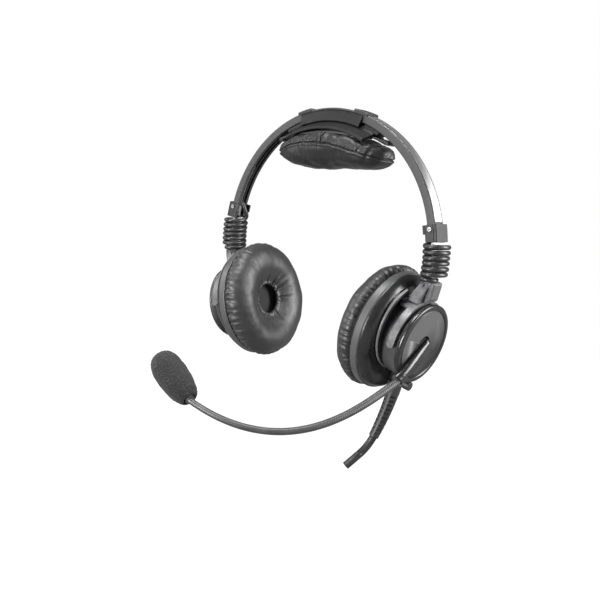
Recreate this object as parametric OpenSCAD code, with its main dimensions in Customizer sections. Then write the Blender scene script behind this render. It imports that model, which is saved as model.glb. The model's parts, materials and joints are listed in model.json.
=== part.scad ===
// Two-ear communication headset with a flexible boom microphone.
// Origin: centre of the whole headset's bounding box. The modules are written from the point midway
// between the two ear-cup flange centres, and shift moves them to that origin.
// +Z up to the crown, +X to the wearer's left (the boom side), -Y to the wearer's front.
// Millimetres.

/* [Headband] */
// Outer radius of the headband
band_outer = 95.6; // [92:0.1:99]
// Width of the headband, front to back
band_width = 10.5; // [9:0.1:12]
// Radial depth of the headband channel
band_depth = 5.9; // [5.6:0.1:6.4]
// Height of the headband circle's centre above the ear cups
band_centre_z = 49.4; // [46:0.1:53]
// Angle above horizontal at which the band channel ends
band_end = 8; // [7:0.5:9]

/* [Ear cups] */
// Half distance between the two flange centres
cup_x = 62.5; // [60:0.5:65]
// Inward tilt of the cups at rest
cup_tilt = 12.5; // [10:0.5:14]
// Swivel of the boom-side cup at rest
swivel_left_rest = 1.3; // [0:0.1:3]
// Swivel of the plain-side cup at rest
swivel_right_rest = 6.1; // [5:0.1:10]
// Outer radius of the ear cushion
cushion_r = 42; // [40:0.5:43]
// Thickness of the ear cushion
cushion_thick = 17; // [15:0.5:22]
// Radius of the ear opening at its narrowest
ear_hole_r = 11; // [10:0.5:16]
// Radius of the drum behind the bowl
drum_r = 25; // [24:0.1:25.4]

/* [Hanger] */
// Distance of the fork pivot axis outward from the flange
pivot_z = 21.3; // [20:0.1:22]
// Inner radius of the fork strap
fork_inner = 26.4; // [26:0.1:27]
// Outer radius of the fork strap
fork_outer = 28.2; // [28:0.1:29]
// Radius of the fork pivot pins
fork_pin_r = 1.6; // [1.2:0.1:1.8]
// Radius of the swivel pin on the slider
swivel_pin_r = 2.4; // [2:0.1:2.8]
// Radial running clearance of pins in bores
clearance = 0.05; // [0.02:0.01:0.09]

/* [Coil cords] */
// Thickness of the coiled cord
coil_thick = 3.2; // [2.8:0.1:3.3]
// Turns in each coil
coil_turns = 6; // [5:1:6]
// Pitch of the coil
coil_pitch = 3.9; // [3.6:0.1:4.2]

/* [Boom] */
// Radius of the boom disc
disc_r = 27.2; // [26.5:0.1:27.6]
// Direction of the boom arm below the forward horizontal
arm_angle = 44.5; // [40:0.5:50]
// Length of the boom arm from the pivot
arm_length = 31; // [30:0.5:33]
// Gooseneck diameter at the arm
neck_arm_d = 5.4; // [5:0.1:6]
// Gooseneck diameter at the microphone
neck_mic_d = 4.0; // [3.6:0.1:4.6]
// Gooseneck curve: first control point
neck_control_1 = [86.1, -54.1, -40.7];
// Gooseneck curve: second control point
neck_control_2 = [76.8, -105.8, -74.6];
// Gooseneck curve: end at the microphone
neck_end = [10, -126, -46];
// Windscreen length
foam_length = 39; // [34:0.5:42]
// Windscreen diameter
foam_d = 20.5; // [19:0.5:25]

/* [Cable] */
// Diameter of the main cable
cable_d = 5.4; // [5:0.1:6.4]
// Length of the moulded strain relief
relief_length = 42; // [40:0.5:46]
// Forward lean of the strain relief where it leaves the cup
relief_lean = 3.7; // [2:0.1:8]
// Bend of the strain relief
relief_bend = 13.7; // [10:0.1:16]
// Bend of the cable below the strain relief
cable_bend = 31.7; // [20:0.1:40]
// Length of the straight cable end
cable_tail = 12; // [10:0.5:20]

/* [Hidden] */
$fn = 96;
// from the cups' mid-point to the centre of the bounding box
shift = [0, 45.56, -23.79];
left = 1;
right = -1;
tiny = 0.01;
band_inner = band_outer - band_depth;
band_half = band_width/2;
// radius of the slider bar's middle line about the band centre
bar_r = cup_x*cos(cup_tilt) + band_centre_z*sin(cup_tilt) + pivot_z;
// height of the swivel point above the cup centre, in the hanger frame
swivel_y = band_centre_z*cos(cup_tilt) - cup_x*sin(cup_tilt);

// ---- frames ----
module place() translate(shift) children();
module on_side(side) if (side > 0) children(); else mirror([1,0,0]) children();
// arc about the band centre, angles up from the wearer's left; profile x = radius, y = forward
module arc(from, to) translate([0,0,band_centre_z]) rotate([90,0,0]) rotate([0,0,from])
  rotate_extrude(angle = to-from, $fn = 180) children();
module arc_about(middle, half) arc(middle-half, middle+half) children();
// hanger frame: x rearward, y up, z outward from the flange
module hanger(side) on_side(side)
  translate([cup_x,0,0]) rotate([0,90+cup_tilt,0]) rotate([0,0,90]) children();
// cup frame: the hanger frame after the cup's rest swivel about the swivel pin
module cup(side) hanger(side)
  translate([0,0,pivot_z]) rotate([0, side > 0 ? swivel_left_rest : -swivel_right_rest, 0])
  translate([0,0,-pivot_z]) children();

// ---- round shapes ----
module rod(radius, height, z = 0) translate([0,0,z]) cylinder(r = radius, h = height);
module ring(inner, outer, from, to) translate([0,0,from]) difference() {
  cylinder(r = outer, h = to-from);
  rod(inner, to-from+2, -1);
}
// along x, the fork axis direction
module x_rod(radius, from, to) translate([from,0,0]) rotate([0,90,0])
  cylinder(r = radius, h = to-from);
// along y, the swivel axis direction
module y_rod(radius, from, to) translate([0,from,0]) rotate([-90,0,0])
  cylinder(r = radius, h = to-from);
// a rod at each end of the fork axis, between two distances from the cup axis
module pivot_rods(radius, near, far) translate([0,0,pivot_z]) {
  x_rod(radius, near, far);
  x_rod(radius, -far, -near);
}

// ---- outlines, vectors and a swept tube ----
// closes a half outline with its mirror image across y = 0
function mirrored(half) = concat(half, [for (i = [len(half)-1:-1:0]) [half[i].x, -half[i].y]]);
function unit(v) = v/norm(v);
function bezier(a, b, c, d, t) =
  pow(1-t,3)*a + 3*pow(1-t,2)*t*b + 3*(1-t)*t*t*c + pow(t,3)*d;
function across(v, along) = unit(v - (v*along)*along);
function tangent(path, i) = unit(path[min(i+1,len(path)-1)] - path[max(i-1,0)]);
// one side direction per path point, each carried on from the one before
function side_dirs(path, i, dirs) = i >= len(path) ? dirs :
  side_dirs(path, i+1, concat(dirs, [across(dirs[i-1], tangent(path,i))]));
// tube along a path, with a radius for each point
module tube(path, radii, sides) {
  dirs = side_dirs(path, 1, [across([0,0,1], tangent(path,0))]);
  last = len(path)-1;
  points = [for (i = [0:last]) let (other = cross(tangent(path,i), dirs[i]))
    for (j = [0:sides-1])
      path[i] + radii[i]*(cos(360*j/sides)*dirs[i] + sin(360*j/sides)*other)];
  caps = [[for (j = [0:sides-1]) j], [for (j = [sides-1:-1:0]) last*sides + j]];
  walls = [for (i = [0:last-1], j = [0:sides-1])
    let (here = i*sides, next = here+sides, k = (j+1)%sides)
    each [[here+j, next+j, next+k], [here+j, next+k, here+k]]];
  polyhedron(points = points, faces = concat(caps, walls), convexity = 8);
}

// ---- headband; outline columns: radius about the band centre, forward ----
channel_half = [
  [band_outer-1.4,band_half-1.5], [band_inner+0.8,band_half-1.5], [band_inner+0.8,2.9],
  [band_inner,2.9], [band_inner,band_half-0.5], [band_inner+0.5,band_half],
  [band_outer-0.6,band_half], [band_outer,band_half-0.6], [band_outer,band_half-1.2],
  [band_outer-0.5,band_half-1.2]];
module headband_channel() color([0.16,0.16,0.17])
  arc(band_end, 180-band_end) polygon(mirrored(channel_half));
module band_trim() color([0.75,0.75,0.76]) arc(band_end+7, 173-band_end)
  translate([band_outer-0.45,-band_half+1.3]) square([0.4, band_width-2.6]);

// outer plate and two cheeks of the clamp
clamp_half = [
  [band_outer+0.04,band_half+0.04], [band_inner-1.2,band_half+0.04],
  [band_inner-1.2,band_half+1.0], [band_inner-0.4,band_half+1.6],
  [band_outer-0.7,band_half+1.6], [band_outer-0.3,band_half+1.1],
  [band_outer+0.5,band_half+1.1], [band_outer+0.9,band_half+1.6],
  [band_outer+1.4,band_half+1.6], [band_outer+2,band_half+1]];
cheek_y = band_half+1.6;
// left clamp screw: z forward from the band's middle
module clamp_screw_axis() translate([0,0,band_centre_z]) rotate([0,-band_end-4.2,0])
  translate([band_outer-3,0,0]) rotate([90,0,0]) children();
// moulded clamp around each band end, its end plate with a window for the bar
module end_clamp() difference() {
  union() {
    arc(band_end-0.8, band_end+6) polygon(mirrored(clamp_half));
    arc(band_end-0.81, band_end-0.03) translate([band_inner+1.6,-band_half-0.5])
      square([band_depth-1.2,band_width+1]);
    // stepped ears on the inner edge of the cheeks
    for (m = [-1,1]) arc(band_end+2.4, band_end+6.2)
      translate([band_inner-2.8, m*(band_half+0.62)-0.55]) square([2.4,1.1]);
  }
  arc(band_end-3, band_end+8) translate([bar_r-1.15, -3.45]) square([2.3, 6.9]);
  // pilot hole of the side screw
  clamp_screw_axis() rod(0.9, 4, band_half-1);
}
module end_clamps() color([0.17,0.17,0.18]) {
  end_clamp();
  mirror([1,0,0]) end_clamp();
}
module clamp_screw() clamp_screw_axis() difference() {
  union() {
    rod(1.6, 0.7, cheek_y+tiny);
    rod(0.88, 1.8, band_half+0.1);
  }
  translate([-1.1,-0.2,cheek_y+0.4]) cube([2.2,0.4,1]);
}
module clamp_screws() color([0.35,0.35,0.37]) {
  clamp_screw();
  mirror([1,0,0]) clamp_screw();
}
// thin cord that links the two sides inside the channel
module link_cable() color([0.07,0.07,0.07]) arc(band_end+5, 175-band_end)
  translate([band_inner+0.75,0]) circle(r = 0.7, $fn = 24);

// ---- crown; half angles are about the top of the band, outlines as for the headband ----
cover_half_angle = 17.5;
saddle_half_angle = 25.5;
lug_angle = 23.2;
clip_angles = [90-15.4, 90+15.4];
clip_half_angle = 3.6;
cover_half = [
  [band_inner-0.05,band_half+0.05], [band_outer-2.2,band_half+0.05],
  [band_outer-2.0,band_half+0.9], [band_outer-2.6,band_half+1.3],
  [band_inner-2.6,band_half+2.7], [band_inner-3.5,band_half+2.4],
  [band_inner-3.5,band_half+0.6], [band_inner-1.6,band_half-0.6]];
saddle_half = [
  [band_inner-1.7,3.9], [band_inner-3.7,band_half+0.3], [band_inner-4.3,band_half+2.0],
  [band_inner-7.1,band_half+7.8], [band_inner-7.4,band_half+8.5],
  [band_inner-8.0,band_half+8.8], [band_inner-9.2,band_half+8.8],
  [band_inner-9.7,band_half+8.3], [band_inner-9.2,band_half+7.5],
  [band_inner-5.9,band_half+1.2], [band_inner-5.1,band_half-0.6], [band_inner-3.2,3.2]];
lug_half = [[band_inner-3.4,3.4], [band_inner-2.4,5], [band_inner-0.05,4.4]];
clip_outline = [
  [band_outer+0.04,band_half+0.04], [band_outer-0.9,band_half+0.04],
  [band_outer-0.9,band_half+0.5], [band_outer+0.9,band_half+0.5],
  [band_outer+1.5,band_half-0.1], [band_outer+1.5,-band_half-0.9],
  [band_outer+0.9,-band_half-1.45], [band_inner+0.6,-band_half-1.45],
  [band_inner+0.6,-band_half-0.04], [band_outer+0.04,-band_half-0.04]];
module crown_cover() color([0.12,0.12,0.125]) difference() {
  arc_about(90, cover_half_angle) polygon(mirrored(cover_half));
  // room for the clip legs
  for (a = clip_angles) arc_about(a, clip_half_angle+0.2)
    translate([band_inner+0.4, -band_half-1.55]) square([12, 1.6]);
}
// flared saddle that spreads the load on the pad, with a lug at each end that meets the band
module pad_saddle() color([0.15,0.15,0.155]) {
  arc_about(90, saddle_half_angle) polygon(mirrored(saddle_half));
  for (m = [-1,1]) arc_about(90+m*lug_angle, 4.2) polygon(mirrored(lug_half));
}
// flat clips on top of the band; a leg behind the band holds the crown cover
module band_clips() color([0.14,0.14,0.15]) for (a = clip_angles) difference() {
  arc_about(a, clip_half_angle) polygon(clip_outline);
  arc(a-2.2, a-1.2) translate([band_outer+0.9, -3]) square([3, 6]);
}

// sprung strap that carries the pad, with a lip under each end
strap_r = 170;
strap_top = 130;
strap_half_angle = 16.7;
plate_half_angle = 9;
module strap_arc(from, sweep) translate([0,0,strap_top-strap_r]) rotate([90,0,0])
  rotate([0,0,from]) rotate_extrude(angle = sweep, $fn = 240) children();
module carrier_strap() color([0.2,0.2,0.21]) {
  strap_arc(90-strap_half_angle, 2*strap_half_angle)
    translate([strap_r-1.4,-4.5]) square([1.4,9]);
  for (a = [90-16.9, 90+15.9]) strap_arc(a, 1) translate([strap_r-2.4,-4.2]) square([2.2,8.4]);
}
module pad_plate() color([0.1,0.1,0.1]) strap_arc(90-plate_half_angle, 2*plate_half_angle)
  translate([strap_r-3.0,-9]) square([1.55,18]);
module head_pad() color([0.06,0.06,0.06]) hull() {
  for (s = [-1,1]) translate([s*38.8,0,112.6]) sphere(r = 10, $fn = 28);
  for (s = [-1,1], t = [-1,1]) translate([s*26,t*10.5,114.2]) sphere(r = 10.6, $fn = 28);
  for (t = [-1,1]) translate([0,t*10.5,114.8]) sphere(r = 11.2, $fn = 28);
}

// ---- coil cord: oval helix around the slider bar ----
coil_top = 59.4;
coil_length = coil_turns - 0.55; // in turns
coil_steps = 20; // per turn
lead_steps = 8; // from the band end to the coil
// the coil runs down from the inner side, passing the front on its way outward;
// its turns lean a little
function coil_point(turn) = let (
    z = coil_top - turn*coil_pitch,
    x = sqrt(pow(bar_r,2) - pow(z-band_centre_z,2)),
    a = 180 + 360*turn,
    across_x = 6.8*cos(a),
    across_y = 8.7*sin(a))
  [x + 0.4 + across_x, across_y, z + 0.12*(0.75*across_x + 0.66*across_y)];
module coil_cord(side) on_side(side) {
  start = coil_point(0);
  along = unit(coil_point(0.01) - start);
  lead = [0,-0.6,band_centre_z] + (band_inner-2.6)*[cos(band_end+5.5), 0, sin(band_end+5.5)];
  path = concat(
    [for (i = [0:lead_steps-1])
      bezier(lead, lead+[-1.6,-0.6,-4], start-6*along+[-1,0,2.2], start, i/lead_steps)],
    [for (i = [0:coil_length*coil_steps]) coil_point(i/coil_steps)]);
  tube(path, [for (p = path) coil_thick/2], 8);
}
module coil_cord_left() color([0.05,0.05,0.05]) coil_cord(left);
module coil_cord_right() color([0.05,0.05,0.05]) coil_cord(right);

// ---- slider: curved flat bar with the swivel pin at its lower end ----
module slider(side) {
  on_side(side) arc(-cup_tilt+4.6, 34) translate([bar_r-1.1,-3.4]) square([2.2,6.8]);
  hanger(side) translate([0,0,pivot_z]) {
    y_rod(3.8, swivel_y+7.05, swivel_y+9.0);
    y_rod(swivel_pin_r, swivel_y-7.2, swivel_y+7.2);
    y_rod(1.4, swivel_y-9.1, swivel_y-7);
  }
}
module slider_left() color([0.45,0.45,0.46]) slider(left);
module slider_right() color([0.45,0.45,0.46]) slider(right);
// retaining washer riveted on the end of the swivel pin
module slider_washer(side) hanger(side) translate([0,0,pivot_z]) difference() {
  y_rod(2.4, swivel_y-8.5, swivel_y-7.45);
  y_rod(1.42, swivel_y-9.9, swivel_y-7);
}
module slider_washer_left() color([0.6,0.6,0.6]) slider_washer(left);
module slider_washer_right() color([0.6,0.6,0.6]) slider_washer(right);

// ---- fork: swivel hub on top, strap around the drum, eyes at the pivots ----
hub_width = 10.2;
hub_base = 26.8;
hub_top = swivel_y+6.9;
strap_thick = fork_outer-fork_inner;
module fork(side) cup(side) difference() {
  union() {
    // strap over the top half of the drum
    translate([0,0,pivot_z-2.5]) rotate_extrude(angle = 180)
      translate([fork_inner-1,0]) square([strap_thick+1,5]);
    // rounded tips
    pivot_rods(2.5, fork_inner-0.6, fork_outer+0.2);
    translate([-hub_width/2,hub_base,16.6]) cube([hub_width,hub_top-hub_base,8]);
    // flared foot of the hub
    hull() {
      translate([-5,swivel_y+3,16.8]) cube([10,2,6.6]);
      translate([-11,28,14.6]) cube([22,1.6,7.4]);
    }
    // web over the drum toward the bowl
    translate([0,0,12.6]) rotate([0,0,56]) rotate_extrude(angle = 68)
      translate([fork_inner-0.8,0]) square([strap_thick+0.65,8]);
    translate([-12,hub_base,15.5]) cube([24,2.4,6.5]);
  }
  // clear the drum and the rim of the disc
  rod(fork_inner, 40, 5);
  rod(29, 20, pivot_z+2.7);
  // swivel bore and washer pocket
  translate([0,0,pivot_z]) {
    y_rod(swivel_pin_r+clearance, 20, 60);
    y_rod(3.0, 20, swivel_y-7.3);
  }
  // blind pivot bores
  pivot_rods(fork_pin_r+clearance, 20, fork_outer-0.3);
  // side grooves of the hub, and a slanted slot in its front face near the top
  for (m = [-1,1], z = [19.2,23.8]) translate([m*5.6-1,30.5,z]) cube([2,20,0.8]);
  translate([-6,swivel_y+4.4,17.4]) rotate([-12,0,0]) cube([2.2,1.0,5.6]);
}
module fork_left() color([0.22,0.22,0.23]) fork(left);
module fork_right() color([0.22,0.22,0.23]) fork(right);

// outer cap of the hub, its outer edges chamfered
cap_base = 29.6;
cap_thick = 2.2;
cap_z = 24.65;
module hub_cap(side) cup(side) difference() {
  translate([-hub_width/2,cap_base,cap_z]) cube([hub_width,hub_top-cap_base,cap_thick]);
  translate([0,0,cap_z+cap_thick]) {
    translate([0,hub_top,0]) rotate([45,0,0]) cube([14,1.7,1.7], center = true);
    translate([0,cap_base,0]) rotate([45,0,0]) cube([14,1.3,1.3], center = true);
    for (m = [-1,1]) translate([m*hub_width/2,36,0]) rotate([0,45,0])
      cube([1.3,16,1.3], center = true);
  }
}
module hub_cap_left() color([0.25,0.25,0.26]) hub_cap(left);
module hub_cap_right() color([0.25,0.25,0.26]) hub_cap(right);

// slotted stub pins of the drum that the fork tips snap over
module fork_pins(side) cup(side) translate([0,0,pivot_z])
  for (turn = [0,180]) rotate([0,0,turn]) difference() {
    union() {
      x_rod(fork_pin_r, drum_r-0.6, fork_outer-0.4);
      x_rod(1.1, drum_r-2.6, drum_r-0.5);
    }
    translate([fork_outer-0.7,-0.3,-2]) cube([1,0.6,4]);
  }
module fork_pins_left() color([0.5,0.5,0.5]) fork_pins(left);
module fork_pins_right() color([0.5,0.5,0.5]) fork_pins(right);

// ---- ear cushion, baffle, driver; outline columns: radius, z outward from the flange ----
// outer side bulges, crest, then a funnel down to the ear opening
crest_z = -cushion_thick;
cushion_outline = [
  [ear_hole_r+18,-0.05], [cushion_r-1.7,-0.05], [cushion_r-0.7,-0.5], [cushion_r-0.15,-2],
  [cushion_r,-4.5], [cushion_r-0.7,-8], [cushion_r-2.5,-11.2], [cushion_r-5.2,-13.9],
  [cushion_r-9,crest_z+1], [cushion_r-13,crest_z+0.1], [cushion_r-16,crest_z],
  [cushion_r-19,crest_z+0.7], [cushion_r-22.5,crest_z+2.3], [ear_hole_r+6,crest_z+4.1],
  [ear_hole_r+3,crest_z+5.9], [ear_hole_r+0.8,crest_z+7.5], [ear_hole_r,crest_z+8.4],
  [ear_hole_r+0.3,crest_z+9.6], [ear_hole_r+2.4,-5.2], [ear_hole_r+7,-3.4],
  [ear_hole_r+12,-2.4]];
module ear_cushion(side) cup(side) rotate_extrude() polygon(cushion_outline);
module ear_cushion_left() color([0.05,0.05,0.05]) ear_cushion(left);
module ear_cushion_right() color([0.05,0.05,0.05]) ear_cushion(right);
module ear_cloth(side) cup(side) rod(21.5, 0.6, -1.6);
module ear_cloth_left() color([0.1,0.1,0.1]) ear_cloth(left);
module ear_cloth_right() color([0.1,0.1,0.1]) ear_cloth(right);

// the four baffle screws
module at_screws() for (i = [0:3]) rotate([0,0,45+90*i]) translate([30.5,0,0]) children();
// baffle with the light flange ring that holds the cushion's skirt
baffle_outline = [
  [20.5,0.02], [cushion_r-2,0.02], [cushion_r-2,0.6], [cushion_r-1.1,0.6], [cushion_r-0.8,0.9],
  [cushion_r-0.8,5.5], [cushion_r-1.5,6.2], [38.6,6.2], [38.6,2.4], [20.5,2.4]];
module baffle(side) cup(side) difference() {
  union() {
    rotate_extrude() polygon(baffle_outline);
    ring(19, 20.6, -0.9, 6.4);
    cylinder(r = 19.4, h = 1.2);
  }
  // countersinks
  at_screws() rod(2.65, 2.4, -1);
  // sound openings
  cylinder(r = 4, h = 10, center = true);
  for (i = [0:7]) rotate([0,0,45*i]) translate([11.5,0,0])
    cylinder(r = 2.6, h = 10, center = true);
  at_screws() cylinder(r = 1.5, h = 10, center = true);
}
module baffle_left() color([0.3,0.3,0.31]) baffle(left);
module baffle_right() color([0.3,0.3,0.31]) baffle(right);
module baffle_screws(side) cup(side) at_screws() {
  difference() {
    rod(2.6, 1.25, 0.1);
    translate([-2,-0.3,-0.4]) cube([4,0.6,1]);
  }
  rod(1.45, 4.1, 1.2);
}
module baffle_screws_left() color([0.4,0.4,0.4]) baffle_screws(left);
module baffle_screws_right() color([0.4,0.4,0.4]) baffle_screws(right);

frame_outline = [[17.6,1.9], [18.9,1.9], [18.9,5], [12,8.6], [9.2,8.6], [9.2,7.4], [11.6,7.4],
  [17.6,4.2]];
module driver_frame(side) cup(side) difference() {
  rotate_extrude() polygon(frame_outline);
  for (i = [0:3]) rotate([0,0,90*i]) translate([14.4,0,6.5])
    cylinder(r = 1.6, h = 8, center = true);
}
module driver_frame_left() color([0.2,0.2,0.2]) driver_frame(left);
module driver_frame_right() color([0.2,0.2,0.2]) driver_frame(right);
module driver_magnet(side) cup(side) {
  rod(9.1, 4.6, 5.4);
  rod(4.4, 2, 3.6);
}
module driver_magnet_left() color([0.55,0.55,0.56]) driver_magnet(left);
module driver_magnet_right() color([0.55,0.55,0.56]) driver_magnet(right);
diaphragm_outline = [[0,2.2], [5.2,1.6], [11,2.0], [17.5,1.8], [17.5,2.1], [11,2.4], [6.2,2.2],
  [6.2,5], [5.6,5], [5.6,2.1], [0,2.6]];
module diaphragm(side) cup(side) rotate_extrude() polygon(diaphragm_outline);
module diaphragm_left() color([0.8,0.75,0.5]) diaphragm(left);
module diaphragm_right() color([0.8,0.75,0.5]) diaphragm(right);

// ---- cup shell (bowl), with the raised collar set off-centre above the drum ----
collar_y = 6;
collar_inner = 28.3;
shell_bore_r = drum_r+0.05;
// turn of the cable boss about the cup axis
boss_turn = -90-relief_lean+14;
shell_outline = [
  [38.5,2.5], [38.5,6.25], [40.3,6.25], [40.0,7.4], [38.6,9.6], [36.4,11.2], [33.6,12],
  [shell_bore_r,12], [shell_bore_r,10.2], [33.0,10.2], [35.2,9.4], [36.6,8.0], [37.5,6.2],
  [37.7,2.5]];
module cup_shell(side) cup(side) difference() {
  union() {
    rotate_extrude() polygon(shell_outline);
    // floor and wall of the pocket under the web
    intersection() {
      translate([0,collar_y,5.2]) ring(0.1, 31, 0, 6.6);
      rod(36.2, 6.6, 5.2);
    }
    // screw posts
    at_screws() rod(3, 8.6, 2.5);
    translate([0,collar_y,11.5]) ring(collar_inner, 29.8, 0, 2.2);
  }
  translate([0,collar_y,6.8]) cylinder(r = collar_inner, h = 20);
  rod(shell_bore_r, 40, -1);
  at_screws() cylinder(r = 1.47, h = 5.5);
  // opening of the collar toward the hub
  translate([-11,28,10.5]) cube([22,12,6]);
}
// the left shell is cut away around the cable boss
module cup_shell_left() color([0.13,0.13,0.135]) difference() {
  cup_shell(left);
  cup(left) translate([0,0,pivot_z-4]) rotate([0,0,boss_turn])
    translate([22,-7,-9.4]) cube([18,13,14]);
}
module cup_shell_right() color([0.13,0.13,0.135]) cup_shell(right);

// ---- drum: the tall round housing behind the bowl ----
drum_z = 6.9;
drum_height = 24.4-drum_z;
axle_r = 3;
stop_x = 30.7; // boom stop's distance below the cup axis
// housing, open toward the ear, with a boss inside it at each pivot
module drum_body() {
  translate([0,0,drum_z]) difference() {
    cylinder(r = drum_r, h = drum_height);
    rod(drum_r-2, drum_height-0.6, -1);
  }
  pivot_rods(3, drum_r-4.4, drum_r-1.4);
}
module drum_pin_bores() {
  pivot_rods(fork_pin_r+0.02, drum_r-0.65, drum_r+2);
  pivot_rods(1.12, drum_r-2.7, drum_r);
}
module drum_left() color([0.08,0.08,0.085]) cup(left) difference() {
  union() {
    drum_body();
    // bearing boss of the boom
    rod(7, 4.4, 20.5);
    // cable boss at the bottom
    rotate([0,0,boss_turn]) translate([23.6,-6,9.6]) cube([8.3,11,11.2]);
    // lug of the boom stop
    rotate([0,0,-90]) translate([23.6,-3,20.4]) cube([9.2,6,3.6]);
  }
  rod(axle_r+clearance, 12, 15);
  drum_pin_bores();
  // cable bore
  cable_start() rod(3.1, 24, -14);
  rotate([0,0,-90]) translate([stop_x,0,18.6]) cylinder(r = 1.2, h = 8);
}
module drum_right() color([0.08,0.08,0.085]) cup(right) difference() {
  drum_body();
  drum_pin_bores();
}
cover_outline = [[0,24.45], [25.2,24.45], [27.3,26.0], [27.3,27.1], [26.6,27.8], [24.2,27.8],
  [23.6,27.1], [0,27.1]];
module outer_cover_right() color([0.2,0.2,0.21]) cup(right) difference() {
  rotate_extrude() polygon(cover_outline);
  for (a = [0:120:240]) rotate([0,0,a+90]) translate([19,0,26.4]) cylinder(r = 1.6, h = 3);
}
// board with two components on it
module circuit_board() color([0.05,0.3,0.15]) cup(left) {
  translate([-11,-9,12.4]) cube([22,18,1.6]);
  translate([-10,-8,14.0-tiny]) cube([5,6,1.2]);
  translate([6.5,-8.5,14.0-tiny]) cube([4,4,3]);
}
module boom_stop() color([0.07,0.07,0.07]) cup(left) rotate([0,0,-90])
  translate([stop_x,0,0]) {
    rod(3.1, 4.6, 24.05);
    rod(1.18, 5.4, 18.9);
  }

// ---- cable exit ----
relief_collar = 9; // length of the straight collar
relief_r = (relief_length-relief_collar)*180/(PI*relief_bend);
cable_bend_r = 29;
relief_segments = 9;
// frame at the boss, z pointing along the cable
module cable_start() translate([3.8,-33.2,15.4]) rotate([0,0,-relief_lean])
  rotate([90,0,0]) children();
// frame at an angle along the bend of the relief: x out from the bend's centre, y along the cable
module relief_at(a) translate([0,0,relief_collar]) rotate([0,0,14.5])
  translate([-relief_r,0,0]) rotate([90,0,0]) rotate([0,0,a]) children();
module relief_arc(radius, from, to) relief_at(from)
  rotate_extrude(angle = to-from) translate([relief_r,0]) circle(r = radius);
module strain_relief() color([0.07,0.07,0.07]) cup(left) cable_start() difference() {
  union() {
    rod(4.7, relief_collar, 0.05);
    // the bend steps down in radius, each step overlapping the last
    for (i = [0:relief_segments-1]) relief_arc(4.45-0.12*i,
      relief_bend*i/relief_segments-(i > 0 ? 0.1 : 0), relief_bend*(i+1)/relief_segments);
    rod(3.05, 8.2, -8);
  }
  rod(cable_d/2+0.03, relief_collar+20.02, -20);
  relief_arc(cable_d/2+0.03, -0.1, relief_bend+1);
  // rows of notches around the outside
  for (i = [0:9], k = [0:3]) relief_at(relief_bend*(i+0.5)/10.4) translate([relief_r,0,0])
    rotate([0,26.5+90*k,0]) translate([4.35,0,0]) cube([2.6,1.4,3.5], center = true);
}
// main cable: through the relief, one more bend, then a straight cut end
module main_cable() color([0.05,0.05,0.05]) cup(left) cable_start() {
  rod(cable_d/2, relief_collar+14.02, -14);
  relief_arc(cable_d/2-0.01, -0.05, relief_bend+0.05);
  relief_at(relief_bend) translate([relief_r-cable_bend_r,0,0]) {
    rotate_extrude(angle = cable_bend) translate([cable_bend_r,0]) circle(r = cable_d/2-0.02);
    rotate([0,0,cable_bend]) translate([cable_bend_r,-0.3,0]) rotate([-90,0,0])
      cylinder(r = cable_d/2, h = cable_tail+0.3);
  }
}

// ---- boom ----
groove_z = 27.4; // floor of the disc's groove
arm_z = groove_z+0.05;
axle_hole_r = axle_r+0.02;
disc_outline = [
  [0,25.1], [25.6,25.1], [disc_r,26.4], [disc_r,28], [disc_r-0.7,28.7], [25.2,29], [24.6,28.3],
  [23.4,28.3], [22.9,29], [0,29]];
// x along the arm
module arm_frame() rotate([0,0,180+arm_angle]) children();
module boom_disc() color([0.2,0.2,0.21]) cup(left) difference() {
  rotate_extrude() polygon(disc_outline);
  // groove for the arm
  arm_frame() translate([0,-3.6,groove_z]) cube([40,7.2,4]);
  rod(6, 4, groove_z);
  rod(axle_hole_r, 12, 20);
}
module boom_arm() color([0.1,0.1,0.1]) cup(left) difference() {
  arm_frame() union() {
    hull() {
      translate([-2.2,0,30.0]) sphere(r = 2.5, $fn = 32);
      translate([arm_length-3.6,0,30.6]) sphere(r = 3.7, $fn = 32);
    }
    translate([arm_length-6,0,30.6]) rotate([0,90,0]) cylinder(r = 3.72, h = 5);
    rod(4.4, 1.5, arm_z);
  }
  // flat underside
  translate([-40,-40,20]) cube([80,80,arm_z-20]);
  rod(axle_hole_r, 8.95, 20);
}
module boom_axle() color([0.6,0.6,0.6]) cup(left) {
  rod(axle_r, 11.9, 17.0);
  rod(2.2, 1.7, 15.4);
}
module spring_washer() color([0.6,0.6,0.6]) cup(left) ring(3.1, 6, 19.6, 20.4);
module boom_retainer() color([0.6,0.6,0.6]) cup(left) ring(2.22, 5.4, 15.6, 16.95);

// gooseneck in three lengths with a short gap at each joint; places are fractions of the curve
neck_start = [88.3,-22.2,-29.2];
joint_1 = 0.3;
joint_2 = 0.72;
half_gap = 0.008;
module neck_part(from, to, steps) {
  places = [for (i = [0:steps]) from+(to-from)*i/steps];
  tube([for (t = places) bezier(neck_start, neck_control_1, neck_control_2, neck_end, t)],
    [for (t = places) (neck_arm_d+(neck_mic_d-neck_arm_d)*t)/2], 12);
}
module gooseneck_base() color([0.1,0.1,0.1]) neck_part(0.004, joint_1-half_gap, 9);
module gooseneck_middle() color([0.1,0.1,0.1])
  neck_part(joint_1+half_gap, joint_2-half_gap, 12);
module gooseneck_tip() color([0.1,0.1,0.1]) neck_part(joint_2+half_gap, 1, 8);

// ---- microphone: its axis turns up from the end of the gooseneck ----
foam_z = 1.5;
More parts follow.
